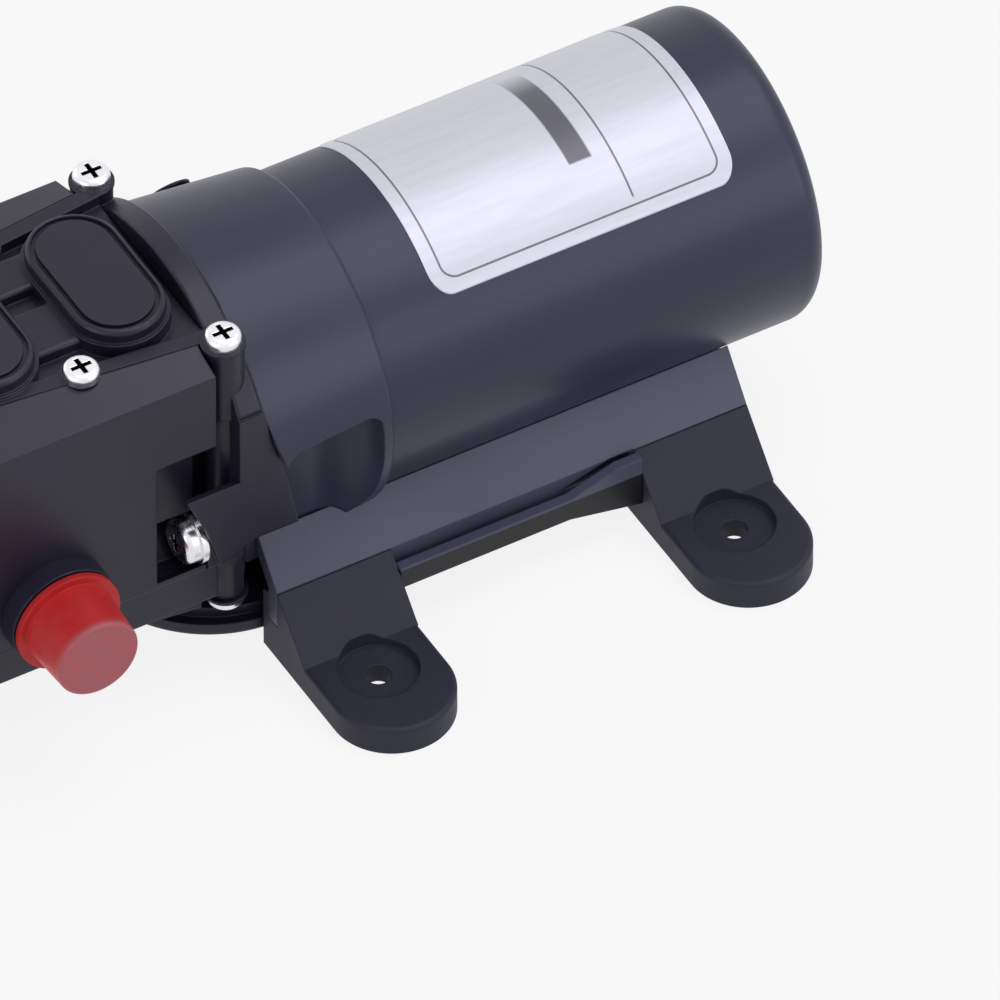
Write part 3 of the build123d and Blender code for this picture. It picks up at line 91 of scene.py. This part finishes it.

# Colours of the parts inside, of painted shade in recesses and of the floor

STEEL = (0.58, 0.58, 0.60)
COPPER = (0.76, 0.36, 0.20)
BRONZE = (0.72, 0.54, 0.28)
ACETAL = (0.82, 0.82, 0.79)
FERRITE = (0.10, 0.10, 0.11)
CARBON = (0.05, 0.05, 0.05)
RECESS_SHADE = (0.01, 0.01, 0.012)
CAP_END = (0.46, 0.13, 0.14)
CAP_CLOUD = (0.70, 0.08, 0.07)
CAP_CLOUD_SHARE = 0.4
PAPER_DARK = (0.86, 0.86, 0.87)
PAPER_PALE = (0.88, 0.88, 0.89)
WHITE = (1.0, 1.0, 1.0)

# The stage: metres, the sensor in millimetres and the picture in pixels

FLOOR_DROP = 0.2 * MM
SENSOR_WIDTH = 36.0
PICTURE_WIDTH = 1000.0
CLIP_NEAR = 0.01
CLIP_FAR = 20.0


# Shader maths

class Socket:
    """An output socket that Python's operators can work on."""

    def __init__(self, nodes, output):
        self.nodes = nodes
        self.output = output

    def maths(self, operation, *others):
        made = self.nodes.node("ShaderNodeMath", {"operation": operation}, dict(enumerate((self,) + others)))
        return Socket(self.nodes, made.outputs[0])

    def __add__(self, other):
        return self.maths("ADD", other)

    __radd__ = __add__

    def __mul__(self, other):
        return self.maths("MULTIPLY", other)

    __rmul__ = __mul__

    def __neg__(self):
        return self * -1.0

    def __sub__(self, other):
        return self.maths("SUBTRACT", other)

    def __rsub__(self, other):
        return -self + other

    def __abs__(self):
        return self.maths("ABSOLUTE")

    def most(self, other):
        return self.maths("MAXIMUM", other)

    def ramp(self, low, high):
        """Zero below low, one above high, with a soft step between."""
        made = self.nodes.node("ShaderNodeMapRange", {"interpolation_type": "SMOOTHSTEP"},
                               {0: self, 1: low, 2: high, 3: 0.0, 4: 1.0})
        return Socket(self.nodes, made.outputs[0])

    def above(self, level, soft):
        """Zero below a level and one above it, with a step that is soft to both sides."""
        return self.ramp(level - soft, level + soft)

    def line(self, width):
        """One along a thin line where the value is zero, and else zero."""
        return 1.0 - abs(self).ramp(width * LINE_SOLID, width * LINE_GONE)


def distance(first, second):
    """How far a point lies from a centre, from its offsets in two directions."""
    return (first * first + second * second).maths("SQRT")


def around(middle, *waves):
    """A value that each noise moves up and down about a middle, in its own width."""
    value = middle - sum(width for noise, width in waves) / 2
    for noise, width in waves:
        value = noise * width + value
    return value


def shaded(colour, share):
    """A colour made darker or lighter by a share."""
    return [part * share for part in colour]


class Nodes:
    """A node tree whose nodes all come from one method."""

    def __init__(self, tree):
        self.tree = tree

    def feed(self, socket, item):
        """Links a socket, or sets its value, where a colour gets full alpha."""
        if isinstance(item, Socket):
            self.tree.links.new(item.output, socket)
        elif isinstance(item, bpy.types.NodeSocket):
            self.tree.links.new(item, socket)
        elif socket.type == "RGBA":
            socket.default_value = (*item, 1.0)
        else:
            socket.default_value = item

    def node(self, kind, settings=None, values=None):
        """Adds a node, sets it up and then fills or links its sockets."""
        made = self.tree.nodes.new(kind)
        for key, value in (settings or {}).items():
            setattr(made, key, value)
        for key, value in (values or {}).items():
            self.feed(made.inputs[key], value)
        return made

    def background_rays(self):
        """One for the rays that meet a plain white background: camera, glossy and transmission rays."""
        path = self.node("ShaderNodeLightPath")
        rays = Socket(self, path.outputs["Is Camera Ray"])
        return rays.most(path.outputs["Is Glossy Ray"]).most(path.outputs["Is Transmission Ray"])


class Shade(Nodes):
    """One material's node tree, ending in a Principled shader."""

    def __init__(self, name):
        self.material = bpy.data.materials.new(name)
        self.material.use_nodes = True
        super().__init__(self.material.node_tree)
        self.shader = self.tree.nodes["Principled BSDF"]
        self.coords = self.node("ShaderNodeTexCoord").outputs["Object"]

    def axes(self):
        """Where a point lies in the pump's own frame, in metres along X, Y and Z."""
        split = self.node("ShaderNodeSeparateXYZ", None, {0: self.coords})
        return [Socket(self, output) for output in split.outputs]

    def noise(self, cells, detail=3.0, rough=0.55, stretch=None):
        """Noise from 0 to 1, with so many cells to a metre."""
        vector = self.coords
        if stretch:
            vector = self.node("ShaderNodeMapping", None, {0: vector, 3: stretch}).outputs[0]
        made = self.node("ShaderNodeTexNoise", None,
                         {"Vector": vector, "Scale": cells, "Detail": detail, "Roughness": rough})
        return Socket(self, made.outputs["Fac"])

    def mix(self, factor, first, second):
        """A colour between two colours."""
        made = self.node("ShaderNodeMix", {"data_type": "RGBA"}, {0: factor, 6: first, 7: second})
        return made.outputs[2]

    def mottled(self, colour, noise, steps, shares):
        """A colour that goes from one share of itself to another between two steps of a noise."""
        first, second = (shaded(colour, share) for share in shares)
        return self.mix(noise.ramp(*steps), first, second)

    def set(self, **values):
        """Sets the shader's sockets, by their names with _ for each space."""
        for key, value in values.items():
            self.feed(self.shader.inputs[key.replace("_", " ")], value)

    def cover(self, mask, colour):
        """Lays a colour over the one that the surface has, where a mask says so."""
        under = self.shader.inputs["Base Color"].links[0].from_socket
        self.set(Base_Color=self.mix(mask, under, colour))

    def surface(self, noise, height, edge=0.0):
        """Bumps of a height in metres, over edges rounded by a small radius."""
        bump = self.node("ShaderNodeBump", None, {"Strength": 1.0, "Distance": height, "Height": noise})
        if edge:
            rounded = self.node("ShaderNodeBevel", {"samples": EDGE_SAMPLES}, {"Radius": edge})
            self.feed(bump.inputs["Normal"], rounded.outputs[0])
        self.set(Normal=bump.outputs[0])


# Sizes and colours a user may change

class PumpFinishes(bpy.types.PropertyGroup):
    can_colour: FloatVectorProperty(name="Can paint", description="Paint of the can and the bell", size=3,
                                    subtype="COLOR", default=(0.030, 0.031, 0.062), min=0.0, max=1.0)
    bracket_colour: FloatVectorProperty(name="Bracket paint", description="Paint of the bracket", size=3,
                                        subtype="COLOR", default=(0.075, 0.078, 0.120), min=0.0, max=1.0)
    # Painted shadow: a near-black that stands for the shade on the low rail under the bracket's skirt
    rail_shadow_colour: FloatVectorProperty(name="Rail", description="Colour of the bracket's low rail", size=3,
                                     subtype="COLOR", default=(0.004, 0.004, 0.007), min=0.0, max=1.0)
    head_colour: FloatVectorProperty(name="Head plastic", description="Moulded plastic of the head", size=3,
                                     subtype="COLOR", default=(0.018, 0.016, 0.030), min=0.0, max=1.0)
    rubber_colour: FloatVectorProperty(name="Rubber", description="Rubber of the feet and seals", size=3,
                                       subtype="COLOR", default=(0.020, 0.020, 0.036), min=0.0, max=1.0)
    cap_colour: FloatVectorProperty(name="Dust caps", description="Soft plastic of the dust caps", size=3,
                                    subtype="COLOR", default=(0.58, 0.022, 0.022), min=0.0, max=1.0)
    screw_colour: FloatVectorProperty(name="Screws", description="Bright zinc of the screws", size=3,
                                      subtype="COLOR", default=(0.84, 0.84, 0.87), min=0.0, max=1.0)
    edge_radius: FloatProperty(name="Edge radius", description="Rounding that the light sees on edges",
                               default=0.35 * MM, min=0.0, subtype="DISTANCE", unit="LENGTH")
    gloss: FloatProperty(name="Gloss", description="Strength of the reflections on paint, plastic and rubber",
                         default=0.30, min=0.0, max=1.0)


class PumpLabel(bpy.types.PropertyGroup):
    film_colour: FloatVectorProperty(name="Film", description="Silver-white film of the label", size=3,
                                     subtype="COLOR", default=(0.80, 0.81, 0.86), min=0.0, max=1.0)
    line_colour: FloatVectorProperty(name="Line", description="Thin printed lines", size=3,
                                     subtype="COLOR", default=(0.16, 0.16, 0.19), min=0.0, max=1.0)
    panel_colour: FloatVectorProperty(name="Panel", description="Printed grey panel", size=3,
                                      subtype="COLOR", default=(0.13, 0.13, 0.15), min=0.0, max=1.0)
    inset: FloatProperty(name="Line inset", description="From the label's edge to the border line",
                         default=2.2 * MM, subtype="DISTANCE", unit="LENGTH")
    corner: FloatProperty(name="Corner", description="Radius of the border line's corners",
                          default=2.2 * MM, subtype="DISTANCE", unit="LENGTH")
    line_width: FloatProperty(name="Line width", description="Width of the printed lines",
                              default=0.28 * MM, subtype="DISTANCE", unit="LENGTH")
    divide_x: FloatProperty(name="Dividing line", description="Its place along the motor's axis",
                            default=24.9 * MM, subtype="DISTANCE", unit="LENGTH")
    divide_end: FloatProperty(name="Dividing line's end", description="How far it runs down the near side",
                              default=0.70, subtype="ANGLE")
    panel_front: FloatProperty(name="Panel front", description="The grey panel's edge towards the head",
                               default=18.2 * MM, subtype="DISTANCE", unit="LENGTH")
    panel_rear: FloatProperty(name="Panel rear", description="The grey panel's edge towards the closed end",
                              default=21.9 * MM, subtype="DISTANCE", unit="LENGTH")
    panel_near: FloatProperty(name="Panel near", description="The grey panel's edge on the near side",
                              default=-0.38, subtype="ANGLE")
    panel_far: FloatProperty(name="Panel far", description="The grey panel's edge on the far side",
                             default=0.60, subtype="ANGLE")
    panel_fade: FloatProperty(name="Panel fade", description="Turn in which the grey panel fades",
                              default=0.4, subtype="ANGLE")


class PumpStage(bpy.types.PropertyGroup):
    key: FloatProperty(name="Key light", description="Power of the lamp overhead", default=5.0, min=0.0)
    fill: FloatProperty(name="Near light", description="Power of the lamp on the near side", default=2.9,
                        min=0.0)
    front: FloatProperty(name="Front light", description="Power of the lamp beyond the head", default=2.6,
                         min=0.0)
    rim: FloatProperty(name="Rim light", description="Power of the lamp behind", default=0.8, min=0.0)
    sky: FloatProperty(name="Sky", description="Strength of the even light", default=0.22, min=0.0)
    light_colour: FloatVectorProperty(name="Light", description="Colour of the lamps", size=3,
                                      subtype="COLOR", default=(0.90, 0.89, 1.0), min=0.0, max=1.0)
    floor_glow: FloatProperty(name="Floor glow", description="Share of plain white in the floor seen",
                              default=0.86, min=0.0, max=1.0)
    floor_size: FloatProperty(name="Floor", description="Width of the floor", default=6.0,
                              subtype="DISTANCE", unit="LENGTH")
    view_turn: FloatProperty(name="View turn", description="From the near side towards the head",
                             default=math.radians(30.0), subtype="ANGLE")
    view_drop: FloatProperty(name="View drop", description="How steeply the camera looks down",
                             default=math.radians(44.7), subtype="ANGLE")
    distance: FloatProperty(name="Camera distance", description="From the camera to the point looked at",
                            default=4.0, min=0.1, subtype="DISTANCE", unit="LENGTH")
    scale: FloatProperty(name="Scale", description="Pixels to a metre at the point looked at", default=7040.0)
    aim: FloatVectorProperty(name="Aim", description="Pixels from the origin right and down to the point",
                             size=2, default=(73.38, 40.65))
    aim_depth: FloatProperty(name="Aim depth", description="From the origin to the point, towards the camera",
                             default=35.0 * MM, subtype="DISTANCE", unit="LENGTH")


def finishes():
    return bpy.context.scene.pump_finishes


def label_sizes():
    return bpy.context.scene.pump_label


def stage_sizes():
    return bpy.context.scene.pump_stage


# Finishes

def dress(shade, *nodes):
    """Gives nodes of the frame a finish in all their slots."""
    for node in nodes:
        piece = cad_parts[node]
        piece.data.materials.clear()
        piece.data.materials.append(shade.material)


def paint(name, colour, roughness):
    """Satin paint with fine orange peel and a little dust."""
    shade = Shade(name)
    dust = shade.noise(DUST_CELLS, detail=4.0)
    peel = shade.noise(PEEL_CELLS, detail=2.0)
    shade.set(Base_Color=shade.mottled(colour, dust, steps=(0.3, 0.75), shares=(0.88, 1.12)),
              Roughness=around(roughness, (dust, 0.10), (peel, 0.06)),
              Coat_Weight=0.10, Coat_Roughness=0.22, Specular_IOR_Level=finishes().gloss)
    shade.surface(peel, PEEL_HEIGHT, finishes().edge_radius)
    return shade


def moulded(name, colour, roughness):
    """Moulded plastic with a fine matt grain and soft edges."""
    shade = Shade(name)
    flow = shade.noise(FLOW_CELLS, detail=4.0)
    grain = shade.noise(MOULD_CELLS, rough=0.6)
    shade.set(Base_Color=shade.mottled(colour, flow, steps=(0.25, 0.8), shares=(0.85, 1.15)),
              Roughness=around(roughness, (flow, 0.12), (grain, 0.10)), Specular_IOR_Level=finishes().gloss)
    shade.surface(grain, MOULD_HEIGHT, finishes().edge_radius)
    return shade


def rubber(name):
    """Matt black rubber with faint mould bloom."""
    shade = Shade(name)
    colour = finishes().rubber_colour
    bloom = shade.noise(BLOOM_CELLS, detail=5.0, rough=0.65)
    grain = shade.noise(RUBBER_CELLS, detail=2.0)
    shade.set(Base_Color=shade.mottled(colour, bloom, steps=(0.45, 0.85), shares=(1.0, 1.5)),
              Roughness=around(RUBBER_ROUGHNESS, (bloom, 0.15)), Specular_IOR_Level=finishes().gloss)
    shade.surface(grain, RUBBER_HEIGHT, finishes().edge_radius)
    return shade


def metal(name, colour, roughness):
    """Bare metal with fine tool marks and faint stains."""
    shade = Shade(name)
    marks = shade.noise(TOOL_CELLS, rough=0.6)
    stain = shade.noise(STAIN_CELLS)
    shade.set(Base_Color=shade.mottled(colour, stain, steps=(0.4, 0.9), shares=(1.0, 0.78)),
              Roughness=around(roughness, (marks, 0.18)), Metallic=1.0)
    shade.surface(marks, TOOL_HEIGHT, finishes().edge_radius / 2)
    return shade


def plain(name, colour, roughness):
    """Unfilled plastic, carbon or ferrite with a fine grain."""
    shade = Shade(name)
    grain = shade.noise(PLAIN_CELLS)
    shade.set(Base_Color=shade.mottled(colour, grain, steps=(0.3, 0.8), shares=(1.0, 0.85)),
              Roughness=around(roughness, (grain, 0.12)))
    shade.surface(grain, PLAIN_HEIGHT, finishes().edge_radius)
    return shade


class PUMP_OT_motor(bpy.types.Operator):
    """Paints the can and the bell, and finishes the wire grommet"""
    bl_idname = "pump.motor"
    bl_label = "Motor"

    def execute(self, context):
        dress(paint("can_paint", finishes().can_colour, roughness=0.40), "motor_can", "front_bell")
        dress(rubber("grommet_rubber"), "wire_grommet")
        return {"FINISHED"}


class PUMP_OT_label(bpy.types.Operator):
    """Finishes the bare label: film, border line, dividing line and grey panel"""
    bl_idname = "pump.label"
    bl_label = "Label"

    def execute(self, context):
        sizes = label_sizes()
        low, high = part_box("rating_label")
        can_r = high.z - AXIS_Z
        shade = Shade("label_film")
        sheen = shade.noise(FILM_CELLS, detail=2.0, rough=0.5, stretch=FILM_STRETCH)
        shade.set(Base_Color=shade.mottled(sizes.film_colour, sheen, steps=(0.3, 0.8), shares=(1.0, 0.94)),
                  Roughness=around(FILM_ROUGHNESS, (sheen, 0.1)), Metallic=0.1)

        x, y, z = shade.axes()
        turn = y.maths("ARCTAN2", z - AXIS_Z)
        trim = sizes.inset + sizes.corner
        along = (abs(x - (low.x + high.x) / 2) - ((high.x - low.x) / 2 - trim)).most(0.0)
        round_can = (abs(turn * can_r) - (LABEL_HALF_TURN * can_r - trim)).most(0.0)
        past_border = distance(along, round_can) - sizes.corner
        divide = (x - sizes.divide_x).line(sizes.line_width) * turn.above(-sizes.divide_end, SOFT_TURN)
        divide = divide * (-past_border).ramp(0.0, SOFT_EDGE)
        panel = x.above(sizes.panel_front, SOFT_EDGE) * (1.0 - x.above(sizes.panel_rear, SOFT_EDGE))
        panel = panel * turn.above(sizes.panel_near, SOFT_TURN)
        panel = panel * (sizes.panel_far - turn).ramp(-SOFT_TURN, sizes.panel_fade)

        shade.cover(panel, sizes.panel_colour)
        shade.cover(divide.most(past_border.line(sizes.line_width)), sizes.line_colour)
        shade.surface(sheen, FILM_HEIGHT)
        dress(shade, "rating_label")
        return {"FINISHED"}


class PUMP_OT_head(bpy.types.Operator):
    """Finishes the moulded parts of the head, flange and pressure switch"""
    bl_idname = "pump.head"
    bl_label = "Head"

    def execute(self, context):
        dress(moulded("head_plastic", finishes().head_colour, roughness=0.36),
              "pump_body", "top_cover", "bottom_cover", "valve_plate_bottom", "valve_plate_top",
              "drive_flange", "under_cap", "port_fitting_near", "port_fitting_far", "switch_base",
              "switch_housing", "micro_switch", "brush_card")
        return {"FINISHED"}


class PUMP_OT_screws(bpy.types.Operator):
    """Finishes the bright screws, with painted shade in the cross recesses that show"""
    bl_idname = "pump.screws"
    bl_label = "Screws"

    def execute(self, context):
        shade = metal("screw_zinc", finishes().screw_colour, roughness=0.26)
        x, y, z = shade.axes()
        aside = abs(y)
        # Painted shade: near-black inside the screws' cross recesses, where shade falls
        shade.cover(self.upper_recesses(x, aside, z).most(self.side_recesses(x, aside, z)), RECESS_SHADE)
        dress(shade, "cover_screws_top", "cover_screws_bottom", "housing_screws", "switch_screws",
              "bracket_screws", "piston_screws")
        return {"FINISHED"}

    def disc(self, first, second):
        """One within a recess's reach of its middle, and else zero."""
        return 1.0 - distance(first, second).ramp(RECESS_R, RECESS_R + SOFT_EDGE)

    def upper_recesses(self, x, aside, z):
        """One inside the recesses of the upper cover's screws, which look up."""
        discs = None
        for screw_x, screw_y in COVER_SCREWS:
            disc = self.disc(x - screw_x, aside - screw_y)
            discs = discs.most(disc) if discs else disc
        floor_z = CROWN_Z - RECESS_DEPTH
        return discs * z.ramp(floor_z - SOFT_EDGE, floor_z) * (1.0 - z.ramp(CROWN_Z - SOFT_EDGE, CROWN_Z))

    def side_recesses(self, x, aside, z):
        """One inside the recesses of the side screws, which look past the head."""
        low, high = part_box("housing_screws")
        depth = x - low.x
        disc = self.disc(aside - (high.y - SIDE_SCREW_R), z - (low.z + high.z) / 2)
        fade = depth.ramp(RECESS_DEPTH, RECESS_DEPTH + RECESS_FADE)
        return disc * depth.ramp(SOFT_EDGE, SOFT_EDGE * 2) * (1.0 - fade)


class PUMP_OT_bracket(bpy.types.Operator):
    """Paints the bracket, with painted shadow in black on the rail that hangs between its feet"""
    bl_idname = "pump.bracket"
    bl_label = "Bracket"

    def execute(self, context):
        low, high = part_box("base_bracket")
        rail_y = max(-low.y, high.y) - RAIL_SHEET
        shade = paint("bracket_paint", finishes().bracket_colour, roughness=0.46)
        y, z = shade.axes()[1:]
        # Painted shadow: near-black on the bracket's outermost sheet below the rail's top, where the skirt
        # shades the rail
        rail_shadow = abs(y).ramp(rail_y - SOFT_EDGE, rail_y)
        rail_shadow = rail_shadow * (1.0 - z.ramp(RAIL_TOP_Z - SOFT_EDGE, RAIL_TOP_Z))
        shade.cover(rail_shadow, finishes().rail_shadow_colour)
        dress(shade, "base_bracket")
        return {"FINISHED"}


class PUMP_OT_feet(bpy.types.Operator):
    """Finishes the rubber feet"""
    bl_idname = "pump.feet"
    bl_label = "Feet"

    def execute(self, context):
        dress(rubber("foot_rubber"), "foot_near_front", "foot_near_rear", "foot_far_front", "foot_far_rear")
        return {"FINISHED"}


class PUMP_OT_caps(bpy.types.Operator):
    """Finishes the soft red dust caps, paler at their closed ends"""
    bl_idname = "pump.caps"
    bl_label = "Dust caps"

    def execute(self, context):
        for node in ("port_cap_near", "port_cap_far"):
            low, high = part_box(node)
            end = max(-low.y, high.y)
            shade = Shade(node + "_plastic")
            pale = abs(shade.axes()[1]).ramp(end - CAP_PALE_DEPTH, end - SOFT_EDGE)
            cloud = shade.noise(CLOUD_CELLS)
            shade.set(Base_Color=shade.mix(pale, finishes().cap_colour, CAP_END),
                      Roughness=around(CAP_ROUGHNESS, (cloud, 0.1)), Specular_IOR_Level=finishes().gloss,
                      Subsurface_Weight=0.2, Subsurface_Radius=(1.0, 0.25, 0.2),
                      Subsurface_Scale=CAP_LIGHT_DEPTH)
            shade.cover(cloud.ramp(0.35, 0.9) * CAP_CLOUD_SHARE, CAP_CLOUD)
            shade.surface(cloud, CLOUD_HEIGHT, finishes().edge_radius)
            dress(shade, node)
        return {"FINISHED"}


class PUMP_OT_inside(bpy.types.Operator):
    """Finishes the parts inside the motor, the head and the switch"""
    bl_idname = "pump.inside"
    bl_label = "Inner parts"

    def execute(self, context):
        dress(metal("inner_steel", STEEL, roughness=0.32), "armature_core", "motor_shaft", "brush_springs",
              "eccentric_cam", "cam_grub_screw", "cam_bearing", "switch_spring")
        dress(metal("copper", COPPER, roughness=0.35), "armature_windings", "commutator")
        dress(metal("bronze", BRONZE, roughness=0.38), "rear_bearing", "front_bearing", "brush_boxes",
              "switch_terminals", "adjuster_screw")
        dress(rubber("seal_rubber"), "diaphragm_top", "diaphragm_bottom", "umbrella_valves",
              "top_cover_seals", "bottom_cover_seals", "port_seals", "switch_diaphragm")
        dress(plain("acetal", ACETAL, roughness=0.4), "piston_yoke", "piston_plates", "switch_plunger")
        dress(plain("ferrite", FERRITE, roughness=0.6), "magnets")
        dress(plain("carbon", CARBON, roughness=0.5), "brushes")
        return {"FINISHED"}


class PUMP_OT_stage(bpy.types.Operator):
    """Makes the floor, the lamps, the even light and the camera"""
    bl_idname = "pump.stage"
    bl_label = "Stage"

    def execute(self, context):
        sizes = stage_sizes()
        self.floor(sizes)
        self.lamp("key_lamp", sizes.key, width=0.8, place=(0.30, -0.12, 1.0), aim=(0.0, 0.0, 0.03))
        self.lamp("near_lamp", sizes.fill, width=0.6, place=(0.60, -0.90, 0.42), aim=(0.0, 0.0, 0.03))
        self.lamp("front_lamp", sizes.front, width=0.5, place=(-0.95, -0.25, 0.40), aim=(-0.04, 0.0, 0.04))
        self.lamp("far_lamp", sizes.rim, width=0.6, place=(-0.35, 0.95, 0.35), aim=(0.0, 0.0, 0.04))
        self.even_light(sizes)
        self.camera(sizes)
        context.scene.view_settings.view_transform = "Standard"
        return {"FINISHED"}

    def floor(self, sizes):
        """A sheet of white paper just under the feet, which keeps the pump's shadow."""
        half = sizes.floor_size / 2
        corners = [(-half, -half), (half, -half), (half, half), (-half, half)]
        mesh = bpy.data.meshes.new("floor")
        mesh.from_pydata([(x, y, -FLOOR_DROP) for x, y in corners], [], [(0, 1, 2, 3)])
        floor = bpy.data.objects.new("floor", mesh)
        bpy.context.scene.collection.objects.link(floor)
        shade = Shade("floor_paper")
        grain = shade.noise(PAPER_CELLS)
        shade.set(Base_Color=shade.mix(grain.ramp(0.2, 0.9), PAPER_DARK, PAPER_PALE),
                  Roughness=PAPER_ROUGHNESS, Specular_IOR_Level=0.1)
        glow = shade.node("ShaderNodeEmission", None, {"Color": WHITE, "Strength": 1.0})
        mixed = shade.node("ShaderNodeMixShader", None,
                           {0: shade.background_rays() * sizes.floor_glow,
                            1: shade.shader.outputs[0], 2: glow.outputs[0]})
        shade.feed(shade.tree.nodes["Material Output"].inputs[0], mixed.outputs[0])
        floor.data.materials.append(shade.material)

    def lamp(self, name, power, width, place, aim):
        """A soft square lamp that looks from a place at a point, both in metres."""
        light = bpy.data.lights.new(name, "AREA")
        light.size = width
        light.energy = power
        light.color = stage_sizes().light_colour
        lamp = bpy.data.objects.new(name, light)
        lamp.location = place
        lamp.rotation_mode = "QUATERNION"
        lamp.rotation_quaternion = (Vector(aim) - Vector(place)).to_track_quat("-Z", "Y")
        lamp.visible_camera = False
        bpy.context.scene.collection.objects.link(lamp)

    def even_light(self, sizes):
        """Even light from all sides, seen as plain white behind the pump."""
        world = bpy.data.worlds.new("even_light")
        world.use_nodes = True
        nodes = Nodes(world.node_tree)
        background = world.node_tree.nodes["Background"]
        nodes.feed(background.inputs["Strength"], nodes.background_rays() * (1.0 - sizes.sky) + sizes.sky)
        nodes.feed(background.inputs["Color"], WHITE)
        bpy.context.scene.world = world

    def camera(self, sizes):
        """A long lens that looks down at the pump, over its near side and from the head's end."""
        level = Vector((math.sin(sizes.view_turn), math.cos(sizes.view_turn), 0.0))
        right = Vector((math.cos(sizes.view_turn), -math.sin(sizes.view_turn), 0.0))
        forward = level * math.cos(sizes.view_drop) - Vector((0.0, 0.0, math.sin(sizes.view_drop)))
        up = right.cross(forward)
        point = right * (sizes.aim[0] / sizes.scale) - up * (sizes.aim[1] / sizes.scale)
        point -= forward * sizes.aim_depth
        lens = bpy.data.cameras.new("camera")
        lens.sensor_width = SENSOR_WIDTH
        lens.lens = sizes.scale * sizes.distance / PICTURE_WIDTH * SENSOR_WIDTH
        lens.clip_start = CLIP_NEAR
        lens.clip_end = CLIP_FAR
        camera = bpy.data.objects.new("camera", lens)
        turn = Matrix((right, up, -forward)).transposed().to_4x4()
        camera.matrix_world = Matrix.Translation(point - forward * sizes.distance) @ turn
        bpy.context.scene.collection.objects.link(camera)
        bpy.context.scene.camera = camera


class PUMP_PT_panel(bpy.types.Panel):
    """Lists the pump's pieces"""
    bl_idname = "PUMP_PT_panel"
    bl_label = "Water pump"
    bl_space_type = "VIEW_3D"
    bl_region_type = "UI"
    bl_category = "Water pump"

    def draw(self, context):
        layout = self.layout
        for operator in OPERATORS:
            layout.operator(operator.bl_idname)
        for group in SETTINGS:
            settings = getattr(context.scene, group)
            box = layout.box()
            for name in settings.bl_rna.properties.keys():
                if name not in ("rna_type", "name"):
                    box.prop(settings, name)


SETTINGS = {"pump_finishes": PumpFinishes, "pump_label": PumpLabel, "pump_stage": PumpStage}
OPERATORS = (PUMP_OT_stage, PUMP_OT_motor, PUMP_OT_label, PUMP_OT_head, PUMP_OT_screws, PUMP_OT_bracket,
             PUMP_OT_feet, PUMP_OT_caps, PUMP_OT_inside)
CLASSES = (*SETTINGS.values(), *OPERATORS, PUMP_PT_panel)


def register():
    for group in CLASSES:
        bpy.utils.register_class(group)
    for name, group in SETTINGS.items():
        setattr(bpy.types.Scene, name, PointerProperty(type=group))


def unregister():
    for name in SETTINGS:
        delattr(bpy.types.Scene, name)
    for group in reversed(CLASSES):
        bpy.utils.unregister_class(group)


def main():
    register()
    bpy.ops.pump.stage()
    bpy.ops.pump.motor()
    bpy.ops.pump.label()
    bpy.ops.pump.head()
    bpy.ops.pump.screws()
    bpy.ops.pump.bracket()
    bpy.ops.pump.feet()
    bpy.ops.pump.caps()
    bpy.ops.pump.inside()


if __name__ == "__main__":
    main()
